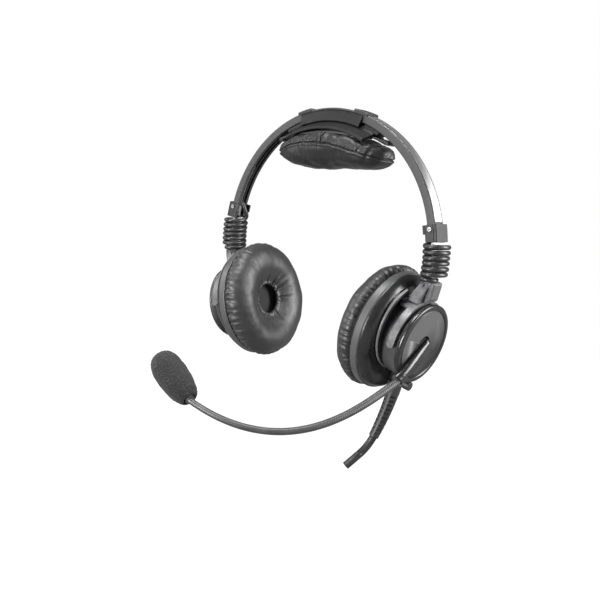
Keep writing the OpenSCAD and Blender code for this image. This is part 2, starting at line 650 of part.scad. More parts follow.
// columns: fraction of the windscreen's radius, fraction of its length
foam_profile = [
  [0.42,0], [0.52,0.012], [0.64,0.05], [0.765,0.12], [0.885,0.24], [0.955,0.38], [0.995,0.52],
  [1,0.64], [0.955,0.76], [0.845,0.86], [0.69,0.93], [0.46,0.975], [0.22,0.995], [0,1]];
module mic() translate(neck_end) rotate([0,0,178.2]) rotate([0,57.9,0]) children();
module mic_housing() color([0.12,0.12,0.12]) mic() difference() {
  union() {
    rod(3.1, 5.6, 0.8);
    rod(5, 15, 6);
  }
  rod(4.1, 12, 12);
  for (turn = [0,90]) rotate([0,0,turn]) translate([0,0,17]) rotate([90,0,0])
    cylinder(r = 1.3, h = 20, center = true);
}
module mic_capsule() color([0.7,0.7,0.7]) mic() {
  rod(4, 6, 12.1);
  rod(3, 0.6, 18.1);
}
module windscreen() color([0.08,0.08,0.08]) mic() difference() {
  rotate_extrude() polygon(concat([[0,foam_z]],
    [for (p = foam_profile) [foam_d/2*p.x, foam_z+foam_length*p.y]]));
  rod(3.2, 9, -2);
  rod(5.1, 15.4, 5.9);
}

place() headband_channel();
place() band_trim();
place() end_clamps();
place() clamp_screws();
place() link_cable();
place() crown_cover();
place() band_clips();
place() pad_saddle();
place() carrier_strap();
place() pad_plate();
place() head_pad();
place() coil_cord_left();
place() coil_cord_right();
place() slider_left();
place() slider_right();
place() slider_washer_left();
place() slider_washer_right();
place() fork_left();
place() fork_right();
place() hub_cap_left();
place() hub_cap_right();
place() fork_pins_left();
place() fork_pins_right();
place() ear_cushion_left();
place() ear_cushion_right();
place() ear_cloth_left();
place() ear_cloth_right();
place() baffle_left();
place() baffle_right();
place() baffle_screws_left();
place() baffle_screws_right();
place() cup_shell_left();
place() cup_shell_right();
place() drum_left();
place() drum_right();
place() driver_frame_left();
place() driver_frame_right();
place() driver_magnet_left();
place() driver_magnet_right();
place() diaphragm_left();
place() diaphragm_right();
place() outer_cover_right();
place() circuit_board();
place() boom_stop();
place() strain_relief();
place() main_cable();
place() boom_disc();
place() boom_arm();
place() boom_axle();
place() spring_washer();
place() boom_retainer();
place() gooseneck_base();
place() gooseneck_middle();
place() gooseneck_tip();
place() mic_housing();
place() mic_capsule();
place() windscreen();
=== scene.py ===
"""Headset with two ear cups, a padded headband and a boom microphone on the left cup.

World frame: +z up, the wearer faces -y, the left cup is at +x.
Pieces are written in mm from the point midway between the cups (BASE takes them to metres).
A cup's own frame has x to the rear, y up and z outwards from the head.
"""
import json
import math
import bpy
import bmesh
import numpy as np
from mathutils import Matrix, Vector, noise


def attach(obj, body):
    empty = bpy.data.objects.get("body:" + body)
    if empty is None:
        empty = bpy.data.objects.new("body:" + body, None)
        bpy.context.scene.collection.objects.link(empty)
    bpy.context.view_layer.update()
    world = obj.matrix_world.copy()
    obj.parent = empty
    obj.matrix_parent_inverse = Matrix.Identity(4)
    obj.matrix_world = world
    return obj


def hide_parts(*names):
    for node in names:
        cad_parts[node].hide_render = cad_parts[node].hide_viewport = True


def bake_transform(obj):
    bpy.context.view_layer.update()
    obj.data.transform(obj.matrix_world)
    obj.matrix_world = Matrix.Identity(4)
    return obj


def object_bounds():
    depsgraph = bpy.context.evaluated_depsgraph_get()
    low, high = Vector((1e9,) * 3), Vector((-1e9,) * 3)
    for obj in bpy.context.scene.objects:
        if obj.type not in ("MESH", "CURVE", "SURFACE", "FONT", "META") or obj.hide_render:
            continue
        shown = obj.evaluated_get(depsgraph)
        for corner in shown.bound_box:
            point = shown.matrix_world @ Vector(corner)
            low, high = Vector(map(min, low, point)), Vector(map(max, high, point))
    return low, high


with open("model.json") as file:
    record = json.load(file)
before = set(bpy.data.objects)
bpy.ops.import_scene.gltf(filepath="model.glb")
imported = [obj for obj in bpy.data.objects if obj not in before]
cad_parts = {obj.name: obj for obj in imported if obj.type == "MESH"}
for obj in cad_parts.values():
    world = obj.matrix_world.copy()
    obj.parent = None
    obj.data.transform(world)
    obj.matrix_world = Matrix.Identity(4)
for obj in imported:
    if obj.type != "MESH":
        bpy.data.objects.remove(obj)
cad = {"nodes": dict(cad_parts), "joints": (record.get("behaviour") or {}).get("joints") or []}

cad_lo, cad_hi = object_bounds()
scene = bpy.context.scene
joints = {joint["name"]: joint for joint in cad["joints"]}

MM = 0.001
SIDES = ("left", "right")
CUP_X = 62.5            # cup centre from the middle plane
CUP_TILT = 12.5         # degrees a cup's axis points below level
PIVOT_H = 21.3          # height of a cup's pivot in the cup frame
CUP_TURN = {"left": 1.3, "right": -6.1}     # degrees each cup is turned about its pivot
BAND_Z = 49.4           # centre of the headband's arc
BAND_R = 95.6
BAND_DEPTH = 5.9
BAND_INNER_R = BAND_R - BAND_DEPTH
tilt = math.radians(CUP_TILT)
# radius of the slider bars about the band's centre
BAR_R = CUP_X * math.cos(tilt) + BAND_Z * math.sin(tilt) + PIVOT_H
BOOM_TURN = 180 + 44.5  # degrees from the cup's x to the boom arm


# ---------------------------------------------------------------- frames
def shift(x, y, z):
    return Matrix.Translation((x, y, z))


def turn(axis, degrees):
    return Matrix.Rotation(math.radians(degrees), 4, axis)


# the slider's axis passes through the band's centre
ORIGIN = Vector(joints["slider_left_extend"]["pos_m"]) - Vector((0, 0, BAND_Z * MM))
BASE = Matrix.Translation(ORIGIN) @ Matrix.Scale(MM, 4)


def half(side):
    """Frame of the left half, or its mirror image for the right"""
    return BASE if side == "left" else BASE @ Matrix.Diagonal((-1, 1, 1, 1))


def cup(side):
    hanger = half(side) @ (shift(CUP_X, 0, 0) @ turn("Y", 90 + CUP_TILT) @ turn("Z", 90))
    return hanger @ shift(0, 0, PIVOT_H) @ turn("Y", CUP_TURN[side]) @ shift(0, 0, -PIVOT_H)


# ---------------------------------------------------------------- mesh helpers
def add_object(name, data):
    obj = bpy.data.objects.new(name, data)
    scene.collection.objects.link(obj)
    return obj


def piece(name, points, faces, place=BASE, smooth=True):
    matrix = np.array(place, float)
    points = np.asarray(points, float).reshape(-1, 3) @ matrix[:3, :3].T + matrix[:3, 3]
    mesh = bpy.data.meshes.new(name)
    mesh.from_pydata(points.tolist(), [], [tuple(int(i) for i in face) for face in faces])
    bm = bmesh.new()
    bm.from_mesh(mesh)
    bmesh.ops.recalc_face_normals(bm, faces=bm.faces)
    bm.to_mesh(mesh)
    bm.free()
    mesh.polygons.foreach_set("use_smooth", [smooth] * len(mesh.polygons))
    mesh.update()
    return add_object(name, mesh)


def read_vectors(mesh, field="co"):
    values = np.zeros(len(mesh.vertices) * 3)
    mesh.vertices.foreach_get(field, values)
    return values.reshape(-1, 3)


def spline(points, count, closed=False):
    """Catmull-Rom through points, resampled to count points evenly spaced along its length"""
    points = np.asarray(points, float)
    total = len(points)
    dense = []
    for i in range(total if closed else total - 1):
        start, end = points[i], points[(i + 1) % total]
        before = points[i - 1] if closed or i > 0 else 2 * start - end
        after = points[(i + 2) % total] if closed or i < total - 2 else 2 * end - start
        for t in np.linspace(0, 1, 24, endpoint=False):
            dense.append(0.5 * (2 * start + (end - before) * t
                                + (2 * before - 5 * start + 4 * end - after) * t * t
                                + (3 * start - before - 3 * end + after) * t ** 3))
    dense.append(points[0] if closed else points[-1])
    dense = np.array(dense)
    length = along_path(dense)
    if closed:
        wanted = np.linspace(0, length[-1], count + 1)[:-1]
    else:
        wanted = np.linspace(0, length[-1], count)
    return np.stack([np.interp(wanted, length, column) for column in dense.T], 1)


def along_path(points):
    """Distance along a path at each of its points"""
    steps = np.linalg.norm(np.diff(points, axis=0), axis=1)
    return np.concatenate([[0], np.cumsum(steps)])


def grid_faces(rows, columns, wrap_rows=True, wrap_columns=False):
    faces = []
    for i in range(rows if wrap_rows else rows - 1):
        i2 = (i + 1) % rows
        for j in range(columns if wrap_columns else columns - 1):
            j2 = (j + 1) % columns
            faces.append((i * columns + j, i2 * columns + j, i2 * columns + j2, i * columns + j2))
    return faces


def end_caps(rows, columns):
    """Faces that close the first and last row of a grid"""
    return [tuple(range(columns)), tuple((rows - 1) * columns + j for j in range(columns))]


def around(count):
    """Angles of a full turn, as a column"""
    return np.linspace(0, 2 * math.pi, count, endpoint=False)[:, None]


def ring_grid(count, radius, height):
    """Points (count, len(radius), 3) turned about local z"""
    angle = around(count)
    return np.stack(np.broadcast_arrays(np.cos(angle) * radius, np.sin(angle) * radius, height), 2)


def revolve(profile, count, closed):
    """Profile of (radius, height) turned about local z; (points, faces)"""
    profile = np.asarray(profile, float)
    size = len(profile)
    points = ring_grid(count, profile[:, 0], profile[:, 1]).reshape(-1, 3)
    faces = grid_faces(count, size, True, closed)
    if not closed:
        for j in (0, size - 1):
            faces.append(tuple(i * size + j for i in range(count)))
    return points, faces


def unit(vectors):
    return vectors / np.linalg.norm(vectors, axis=-1, keepdims=True)


def tube(name, path, radius, sides, place=BASE, round_ends=False):
    path = np.asarray(path, float)
    radius = np.asarray(radius, float) * np.ones(len(path))
    if round_ends:
        out_start, out_end = unit(path[0] - path[1]), unit(path[-1] - path[-2])
        dome = np.radians([30, 60, 80])
        flat = 0.7      # dome height over radius
        path = np.vstack([path[0] + np.outer(np.sin(dome[::-1]) * radius[0] * flat, out_start),
                          path, path[-1] + np.outer(np.sin(dome) * radius[-1] * flat, out_end)])
        radius = np.concatenate([np.cos(dome[::-1]) * radius[0], radius,
                                 np.cos(dome) * radius[-1]])
    # a cross-section frame carried along the path without twist
    tangent = unit(np.gradient(path, axis=0))
    normal = np.zeros_like(path)
    carried = np.array([0.0, 0.3, 1.0])
    for i in range(len(path)):
        carried = unit(carried - (carried @ tangent[i]) * tangent[i])
        normal[i] = carried
    binormal = np.cross(tangent, normal)
    angle = around(sides)[None]
    points = path[:, None] + radius[:, None, None] * (np.cos(angle) * normal[:, None]
                                                      + np.sin(angle) * binormal[:, None])
    faces = grid_faces(len(path), sides, False, True) + end_caps(len(path), sides)
    return piece(name, points, faces, place)


def bezier(start, handle_a, handle_b, end, t):
    start, handle_a, handle_b, end = (np.asarray(p, float)
                                      for p in (start, handle_a, handle_b, end))
    t = np.asarray(t, float)[..., None]
    return ((1 - t) ** 3 * start + 3 * (1 - t) ** 2 * t * handle_a
            + 3 * (1 - t) * t * t * handle_b + t ** 3 * end)


def smooth01(x):
    x = np.clip(x, 0, 1)
    return x * x * (3 - 2 * x)


def bell(x, width):
    return np.exp(-(x / width) ** 2)


def grid_normals(grid):
    """Unit normals of a grid (rows, columns, 3) that closes both ways"""
    along = np.roll(grid, -1, 0) - np.roll(grid, 1, 0)
    across = np.roll(grid, -1, 1) - np.roll(grid, 1, 1)
    normal = np.cross(along, across)
    return normal / np.maximum(np.linalg.norm(normal, axis=2, keepdims=True), 1e-12)


def soft_noise(points, scale, octaves):
    """Smooth deterministic noise at points"""
    out = np.zeros(len(points))
    for i, point in enumerate(points * scale):
        weight, zoom = 1.0, 1.0
        for _ in range(octaves):
            out[i] += weight * noise.noise((point[0] * zoom, point[1] * zoom, point[2] * zoom))
            weight *= 0.5
            zoom *= 2.0
    return out


# ---------------------------------------------------------------- materials
class Tree:
    """A node tree, emptied and ready to fill"""

    def __init__(self, owner):
        owner.use_nodes = True
        self.tree = owner.node_tree
        for old in list(self.tree.nodes):
            self.tree.nodes.remove(old)

    def node(self, kind, **settings):
        new = self.tree.nodes.new(kind)
        for key, value in settings.items():
            setattr(new, key, value)
        return new

    def feed(self, socket, value):
        """Set a socket to a number or a colour, or link an output to it"""
        if isinstance(value, (int, float)):
            socket.default_value = value
        elif isinstance(value, tuple):
            socket.default_value = (*value, 1)
        else:
            self.tree.links.new(value, socket)


class Mat(Tree):
    """A Principled material textured in object coordinates (metres)"""

    def __init__(self, name):
        self.material = bpy.data.materials.new(name)
        super().__init__(self.material)
        out = self.node("ShaderNodeOutputMaterial")
        self.shader = self.node("ShaderNodeBsdfPrincipled")
        self.feed(out.inputs["Surface"], self.shader.outputs[0])
        self.coords = self.node("ShaderNodeTexCoord").outputs["Object"]
        self.normal = None

    def noise(self, scale, detail=3.0, roughness=0.55, stretch=None):
        coords = self.coords
        if stretch:
            mapping = self.node("ShaderNodeMapping")
            mapping.inputs["Scale"].default_value = stretch
            self.feed(mapping.inputs["Vector"], coords)
            coords = mapping.outputs[0]
        tex = self.node("ShaderNodeTexNoise")
        tex.inputs["Scale"].default_value = scale
        tex.inputs["Detail"].default_value = detail
        tex.inputs["Roughness"].default_value = roughness
        self.feed(tex.inputs["Vector"], coords)
        return tex.outputs["Fac"]

    def voronoi(self, scale, feature="F1"):
        tex = self.node("ShaderNodeTexVoronoi", feature=feature)
        tex.inputs["Scale"].default_value = scale
        self.feed(tex.inputs["Vector"], self.coords)
        return tex.outputs["Distance"]

    def ramp(self, factor, *stops):
        """Grey ramp; a stop is (position, grey)"""
        node = self.node("ShaderNodeValToRGB")
        elements = node.color_ramp.elements
        while len(elements) < len(stops):
            elements.new(0.5)
        for element, (position, level) in zip(elements, stops):
            element.position = position
            element.color = (level, level, level, 1)
        self.feed(node.inputs["Fac"], factor)
        return node.outputs["Color"]

    def mix(self, factor, first, second):
        node = self.node("ShaderNodeMix", data_type="RGBA", blend_type="MIX")
        for index, value in ((0, factor), (6, first), (7, second)):
            self.feed(node.inputs[index], value)
        return node.outputs[2]

    def mottle(self, pattern, dark, light):
        return self.mix(self.ramp(pattern, (0.3, 0.0), (0.7, 1.0)), dark, light)

    def math(self, operation, first, second):
        node = self.node("ShaderNodeMath", operation=operation)
        self.feed(node.inputs[0], first)
        self.feed(node.inputs[1], second)
        return node.outputs[0]

    def vary(self, pattern, amount, base):
        """base plus amount times the pattern"""
        return self.math("ADD", self.math("MULTIPLY", pattern, amount), base)

    def wear(self, color, worn, amount, edge, scale, patches, roughness=0.55):
        """Patchy worn colour on convex edges; edge is the pointiness range, patches ramp stops"""
        geometry = self.node("ShaderNodeNewGeometry")
        mask = self.ramp(geometry.outputs["Pointiness"], (edge[0], 0.0), (edge[1], 1.0))
        spots = self.ramp(self.noise(scale, detail=4.0, roughness=roughness), *patches)
        mask = self.math("MULTIPLY", mask, spots)
        return self.mix(self.math("MULTIPLY", mask, amount), color, worn)

    def bump(self, height, strength, distance):
        """Bumps add up in the order they are made"""
        node = self.node("ShaderNodeBump")
        node.inputs["Strength"].default_value = strength
        node.inputs["Distance"].default_value = distance
        self.feed(node.inputs["Height"], height)
        if self.normal is not None:
            self.feed(node.inputs["Normal"], self.normal)
        self.normal = node.outputs["Normal"]
        self.feed(self.shader.inputs["Normal"], self.normal)

    def set(self, **inputs):
        for key, value in inputs.items():
            self.feed(self.shader.inputs[key.replace("_", " ")], value)


def grey(level, tint=(1.0, 1.0, 1.03)):
    return tuple(level * channel for channel in tint)


def plastic(name, base, rough, wear=0.5, worn=2.2, spec=0.5):
    mat = Mat(name)
    blotches = mat.noise(scale=55.0, detail=4.0)
    fine = mat.noise(scale=900.0, detail=2.0)
    color = mat.mottle(blotches, grey(base * 0.82), grey(base * 1.16))
    color = mat.wear(color, grey(base * worn + 0.03), amount=wear, edge=(0.52, 0.60),
                     scale=240.0, patches=((0.42, 0.15), (0.62, 1.0)), roughness=0.7)
    mat.set(Base_Color=color, Roughness=mat.vary(fine, amount=0.12, base=rough - 0.06),
            Specular_IOR_Level=spec)
    grain = 2600.0
    mat.bump(mat.noise(grain, detail=2.0, roughness=0.6), strength=0.35, distance=0.00003)
    mat.bump(mat.voronoi(grain * 0.55), strength=0.25, distance=0.00003)
    return mat.material


def metal(name, base, rough, stretch=(1.0, 1.0, 1.0), scratch=0.5):
    mat = Mat(name)
    tint = (1, 1, 1.01)
    brush = mat.noise(scale=700.0, roughness=0.6, stretch=stretch)
    blotches = mat.noise(scale=70.0, detail=4.0)
    color = mat.mottle(brush, grey(base * 0.86, tint), grey(base * 1.06, tint))
    color = mat.mix(mat.ramp(blotches, (0.25, 0.25), (0.7, 0.0)), color, grey(base * 0.7))
    mat.set(Base_Color=color, Metallic=1.0, Anisotropic=0.4,
            Roughness=mat.vary(brush, amount=0.22, base=rough - 0.1))
    mat.bump(brush, strength=scratch, distance=0.00002)
    return mat.material


def leather(name, tone=1.0, spec=0.62):
    mat = Mat(name)
    blotches = mat.noise(scale=38.0)
    fine = mat.noise(scale=420.0)
    color = mat.mottle(blotches, grey(0.014 * tone), grey(0.024 * tone, (1.0, 1.0, 1.04)))
    color = mat.wear(color, grey(0.07), amount=0.35, edge=(0.5, 0.62),
                     scale=150.0, patches=((0.4, 0.0), (0.65, 1.0)))
    mat.set(Base_Color=color, Specular_IOR_Level=spec, Sheen_Weight=0.06, Sheen_Roughness=0.4,
            Roughness=mat.vary(fine, amount=0.16, base=0.38))
    mat.bump(mat.voronoi(scale=1500.0), strength=0.45, distance=0.00006)
    mat.bump(mat.voronoi(scale=620.0, feature="SMOOTH_F1"), strength=0.22, distance=0.00012)
    mat.bump(mat.noise(scale=160.0, detail=4.0, roughness=0.6), strength=0.18, distance=0.0003)
    return mat.material


def rubber(name, base, rough):
    mat = Mat(name)
    color = mat.mottle(mat.noise(scale=120.0), grey(base * 0.8), grey(base * 1.3))
    dust = mat.noise(scale=900.0, detail=5.0, roughness=0.75)
    color = mat.mix(mat.ramp(dust, (0.6, 0.0), (0.78, 0.3)), color, grey(0.09))
    mat.set(Base_Color=color, Specular_IOR_Level=0.5,
            Roughness=mat.vary(mat.noise(scale=600.0), amount=0.16, base=rough - 0.08))
    mat.bump(mat.noise(scale=2200.0, detail=2.0), strength=0.3, distance=0.00004)
    return mat.material


def foam(name):
    mat = Mat(name)
    large = mat.voronoi(scale=1350.0)
    small = mat.voronoi(scale=2300.0)
    cells = mat.math("ADD", large, mat.math("MULTIPLY", small, 0.6))
    blotches = mat.noise(scale=420.0, detail=4.0, roughness=0.7)
    color = mat.mix(mat.ramp(cells, (0.22, 0.0), (0.72, 1.0)),
                    grey(0.075, (1.0, 1.0, 1.06)), grey(0.012))
    color = mat.mix(mat.ramp(blotches, (0.35, 0.55), (0.6, 0.0)), color, grey(0.014))
    mat.set(Base_Color=color, Roughness=0.95, Specular_IOR_Level=0.2, Sheen_Weight=0.12,
            Sheen_Roughness=0.6)
    mat.bump(cells, strength=0.9, distance=0.0003)
    return mat.material


def weave(name, base):
    mat = Mat(name)
    waves = [mat.node("ShaderNodeTexWave", wave_type="BANDS", bands_direction=axis)
             for axis in "YZ"]
    for wave in waves:
        wave.inputs["Scale"].default_value = 620.0
        wave.inputs["Distortion"].default_value = 0.6
        mat.feed(wave.inputs["Vector"], mat.coords)
    threads = mat.math("MAXIMUM", waves[0].outputs["Fac"], waves[1].outputs["Fac"])
    mat.set(Base_Color=mat.mix(threads, grey(base * 0.4), grey(base * 2.2)),
            Roughness=0.9, Sheen_Weight=0.2)
    mat.bump(threads, strength=0.8, distance=0.0001)
    return mat.material


def glossy(name, base, rough):
    mat = Mat(name)
    color = mat.mottle(mat.noise(scale=30.0), grey(base * 0.85), grey(base * 1.15))
    color = mat.wear(color, grey(0.12), amount=0.4, edge=(0.52, 0.62),
                     scale=300.0, patches=((0.42, 0.1), (0.62, 1.0)), roughness=0.7)
    smudges = mat.noise(scale=70.0, detail=5.0, roughness=0.65)
    mat.set(Base_Color=color, Specular_IOR_Level=0.55,
            Roughness=mat.vary(smudges, amount=0.16, base=rough - 0.08))
    mat.bump(mat.noise(scale=700.0, detail=2.0), strength=0.12, distance=0.00003)
    return mat.material


def board(name):
    mat = Mat(name)
    cells = mat.voronoi(scale=900.0)
    color = mat.mix(mat.ramp(cells, (0.35, 0.0), (0.45, 1.0)),
                    (0.10, 0.24, 0.10), (0.012, 0.10, 0.04))
    mat.set(Base_Color=color,
            Roughness=mat.vary(mat.noise(scale=400.0), amount=0.2, base=0.25))
    mat.bump(cells, strength=0.3, distance=0.00005)
    return mat.material


def film(name):
    mat = Mat(name)
    color = mat.mottle(mat.noise(scale=200.0), (0.42, 0.36, 0.18), (0.55, 0.48, 0.26))
    mat.set(Base_Color=color,
            Roughness=mat.vary(mat.noise(scale=500.0), amount=0.2, base=0.2))
    mat.bump(mat.noise(scale=600.0), strength=0.2, distance=0.00005)
    return mat.material


def face_satin_painted_shade(name):
    """Satin with painted shade: darker and less reflective towards low z and high y"""
    mat = Mat(name)
    xyz = mat.node("ShaderNodeTexCoord").outputs["Generated"]
    split = mat.node("ShaderNodeSeparateXYZ")
    mat.feed(split.inputs[0], xyz)
    # painted shade: this gradient darkens the base colour and weakens the specular towards low z
    # and high y
    shade = mat.math("ADD", mat.math("MULTIPLY", split.outputs[2], 0.62),
                     mat.math("MULTIPLY", split.outputs[1], -0.38))
    shade = mat.math("ADD", shade, mat.math("MULTIPLY", mat.noise(scale=40.0), 0.10))
    color = mat.ramp(shade, (0.0, 0.014), (0.12, 0.040), (0.30, 0.088))
    blotches = mat.ramp(mat.noise(scale=60.0, detail=4.0), (0.3, 0.0), (0.7, 0.12))
    mat.set(Base_Color=mat.mix(blotches, color, grey(0.10)),
            Specular_IOR_Level=mat.ramp(shade, (0.0, 0.14), (0.26, 0.50)),
            Roughness=mat.vary(mat.noise(scale=900.0, detail=2.0), amount=0.10, base=0.32))
    mat.bump(mat.noise(scale=2600.0, detail=2.0, roughness=0.6), strength=0.3, distance=0.00002)
    return mat.material


MATERIALS = {
    "arch": plastic("arch_plastic", base=0.036, rough=0.42, wear=0.25, spec=0.45),
    "cover": plastic("cover_plastic", base=0.009, rough=0.52, worn=2.6, spec=0.24),
    "clamp": plastic("clamp_plastic", base=0.018, rough=0.44, worn=2.6, spec=0.4),
    "hub": plastic("hub_plastic", base=0.085, rough=0.36, worn=1.9),
    "hubcap": plastic("hubcap_plastic", base=0.085, rough=0.50, worn=1.8),
    "ring": plastic("flange_plastic", base=0.060, rough=0.40, worn=2.0),
    "disc": face_satin_painted_shade("disc_satin_painted_shade"),
    "gloss": glossy("shell_gloss", base=0.012, rough=0.26),
    "drum": plastic("turned_dark", base=0.042, rough=0.30, spec=0.7),
    "arm": glossy("arm_gloss", base=0.014, rough=0.20),
    # painted highlight: light grey gloss for the collar's rolled edge
    "lip": glossy("lip_gloss_painted_highlight", base=0.12, rough=0.28),
    # painted shadow: near black for the pieces that stand in for shade at the cover's joint and
    # beside and under the boom arm
    "slot": plastic("slot_black", base=0.004, rough=0.6, spec=0.2),
    "trim": metal("brushed_trim", base=0.50, rough=0.40, stretch=(1.0, 40.0, 1.0), scratch=0.25),
    "steel": metal("satin_steel", base=0.42, rough=0.38, stretch=(1.0, 6.0, 6.0)),
    "screw": metal("screw_steel", base=0.30, rough=0.40),
    "magnet": metal("plated_magnet", base=0.55, rough=0.25),
    "leather": leather("leatherette"),
    "padskin": leather("pad_leatherette", tone=0.65, spec=0.42),
    "rubber": rubber("cord_rubber", base=0.020, rough=0.36),
    "relief": rubber("relief_rubber", base=0.022, rough=0.44),
    "cable": rubber("cable_jacket", base=0.016, rough=0.44),
    "neck": rubber("gooseneck_sleeve", base=0.044, rough=0.38),
    "foam": foam("windscreen_foam"),
    # near black: partly the welt's own colour, partly painted shade in the seam gap
    "welt": rubber("welt_cord_painted_shade", base=0.004, rough=0.7),
    "weave": weave("speaker_cloth", base=0.006),
    "inner": plastic("inner_plastic", base=0.045, rough=0.5),
    "board": board("circuit_board_green"),
    "film": film("diaphragm_film"),
    "stop": plastic("stop_plastic", base=0.014, rough=0.45),
}


def dress(obj, material):
    obj.data.materials.clear()
    obj.data.materials.append(MATERIALS[material])


def register(obj, material, body=None, replaces=()):
    dress(obj, material)
    if body:
        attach(obj, body)
    if replaces:
        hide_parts(*replaces)


# ---------------------------------------------------------------- parts that keep their CAD shape
# CAD node (* stands for left and right), material, bevel width
CURVED_STRIPS = (
    ("headband_channel", "arch", 0.22), ("band_trim", "trim", 0.1), ("end_clamps", "clamp", 0.22),
    ("crown_cover", "cover", 0.22), ("band_clips", "clamp", 0.22), ("pad_saddle", "cover", 0.22),
    ("carrier_strap", "clamp", 0.2), ("pad_plate", "inner", 0.2), ("slider_*", "steel", 0.22),
)
OTHER_PARTS = (
    ("clamp_screws", "screw", 0.12), ("link_cable", "cable", 0), ("slider_washer_*", "screw", 0.1),
    ("fork_*", "hub", 0.3), ("hub_cap_*", "hubcap", 0.35), ("fork_pins_*", "screw", 0.12),
    ("baffle_*", "ring", 0.35), ("baffle_screws_*", "screw", 0.12), ("cup_shell_*", "gloss", 0.3),
    ("drum_*", "drum", 0.35), ("driver_frame_*", "inner", 0.15),
    ("driver_magnet_*", "magnet", 0.2), ("diaphragm_*", "film", 0),
    ("outer_cover_right", "disc", 0.3), ("circuit_board", "board", 0.1),
    ("boom_stop", "stop", 0.3), ("strain_relief", "relief", 0.25), ("main_cable", "cable", 0),
    ("boom_disc", "disc", 0.25), ("boom_axle", "screw", 0.15), ("spring_washer", "screw", 0.1),
    ("boom_retainer", "screw", 0.1), ("mic_housing", "inner", 0.2), ("mic_capsule", "magnet", 0.2),
)


def soften(obj, material, width, planar):
    """Round a CAD part's edges and set its finish; planar merges its flat faces first"""
    dress(obj, material)
    if "custom_normal" in obj.data.attributes:
        obj.data.attributes.remove(obj.data.attributes["custom_normal"])
    obj.data.polygons.foreach_set("use_smooth", [True] * len(obj.data.polygons))
    weld = obj.modifiers.new("weld", "WELD")
    weld.merge_threshold = 2e-6
    if width > 0:
        if planar:
            dissolve = obj.modifiers.new("planar", "DECIMATE")
            dissolve.decimate_type = "DISSOLVE"
            dissolve.angle_limit = math.radians(0.6)
        bevel = obj.modifiers.new("bevel", "BEVEL")
        bevel.limit_method = "ANGLE"
        bevel.angle_limit = math.radians(32)
        bevel.width = width * MM
        bevel.segments = 2
        bevel.use_clamp_overlap = planar
        bevel.miter_outer = "MITER_ARC"
        bevel.harden_normals = False
    normals = obj.modifiers.new("normals", "WEIGHTED_NORMAL")
    normals.keep_sharp = False
    normals.weight = 60


# merging side faces would spoil long curved strips, so they keep their facets
for parts, planar in ((CURVED_STRIPS, False), (OTHER_PARTS, True)):
    for pattern, material, width in parts:
        for side in SIDES if "*" in pattern else ("",):
            soften(cad["nodes"][pattern.replace("*", side)], material, width, planar)


# ---------------------------------------------------------------- ear cushions
# closed section through the cushion: radius, height in the cup frame
CUSHION = [
    (29, -0.35), (36.5, -0.35), (38.7, -0.35), (39.4, -0.7), (40.0, -1.3), (40.9, -2.1),
    (41.65, -3.3), (42.0, -5.0), (41.5, -7.9), (40.0, -10.8), (37.7, -13.3), (34.7, -15.3),
    (31.2, -16.6), (27.6, -17.0), (24.1, -16.3), (20.7, -14.7), (17.5, -12.8), (14.7, -10.9),
    (12.5, -9.5), (11.3, -8.5), (11.0, -7.5), (11.8, -6.4), (14.5, -5.2), (19.5, -3.8), (25, -2.1),
]
SEAM_AT = (39.7, -1.0)      # outer seam and edge of the ear hole on that section
HOLE_AT = (11.1, -8.0)
CUSHION_SEED = {"left": 11, "right": 23}
# where folds start, count, spacing jitter, ranges of depth, half width and length, fan, rise
CUSHION_FOLDS = (
    ("seam", 50, 0.6, (0.85, 1.7), (0.55, 0.9), (9.0, 16.0), 0.7, 0.8),
    ("seam", 15, 0.9, (0.4, 0.9), (0.9, 1.4), (12.0, 17.0), 0.8, 0.8),
    ("hole", 15, 0.95, (0.5, 1.35), (0.42, 0.68), (8.0, 19.0), 1.6, 1.2),
    ("hole", 70, 0.7, (0.18, 0.42), (0.24, 0.36), (2.5, 6.5), 0.9, 0.6),
)
CLOTH_ROWS, CLOTH_COLUMNS = 4, 3    # the cloth pass takes every fourth row and third column


def random_folds(rng, count, jitter, depth, width, length):
    """Rows of angle, depth, half width, length, slant"""
    angle = 2 * math.pi * (np.arange(count) + jitter * rng.uniform(-0.5, 0.5, count)) / count
    return np.stack([angle, rng.uniform(*depth, count), rng.uniform(*width, count),
                     rng.uniform(*length, count), rng.uniform(-0.25, 0.25, count)], 1)


def fold_field(theta, dist, radius, folds, fan, rise):
    """Folds that start at dist 0, widen by fan and fade along dist"""
    out = np.zeros((theta.shape[0], dist.shape[1]))
    for angle, depth, width, length, slant in folds:
        x = (theta - angle + math.pi) % (2 * math.pi) - math.pi
        x = x * radius - slant * dist
        spread = width * (1 + fan * dist / length)
        fade = smooth01(dist / rise) * np.clip(1 - dist / length, 0, 1) ** 1.3
        shape = bell(x, spread) - 0.42 * bell(np.abs(x) - 2.0 * spread, 1.05 * spread)
        out -= depth * fade * shape
    return out


def inflate(obj, pinned, reach, grow, mass, stiffness):
    """Moves (metres, under reach mm) of a cloth inflated from inside"""
    frames = 20
    group = obj.vertex_groups.new(name="pin")
    group.add([int(i) for i in pinned], 1.0, "REPLACE")
    old = read_vectors(obj.data)
    cloth = obj.modifiers.new("cloth", "CLOTH")
    settings = cloth.settings
    settings.quality = 6
    settings.mass = mass
    settings.tension_stiffness = settings.compression_stiffness = stiffness
    settings.shear_stiffness = 6.0
    settings.bending_stiffness = 0.6
    settings.vertex_group_mass = "pin"
    settings.use_pressure = True
    settings.uniform_pressure_force = 4.0
    settings.effector_weights.gravity = 0.0
    settings.shrink_min = -grow
    cloth.collision_settings.use_collision = False
    cloth.point_cache.frame_start, cloth.point_cache.frame_end = 1, frames
    for i in range(1, frames + 1):
        scene.frame_set(i)
    new = read_vectors(obj.evaluated_get(bpy.context.evaluated_depsgraph_get()).data)
    obj.modifiers.remove(cloth)
    obj.vertex_groups.remove(group)
    scene.frame_set(1)
    moves = new - old
    size = np.linalg.norm(moves, axis=1, keepdims=True)
    limit = reach * MM
    return moves / np.maximum(size, 1e-12) * (limit * np.tanh(size / limit))


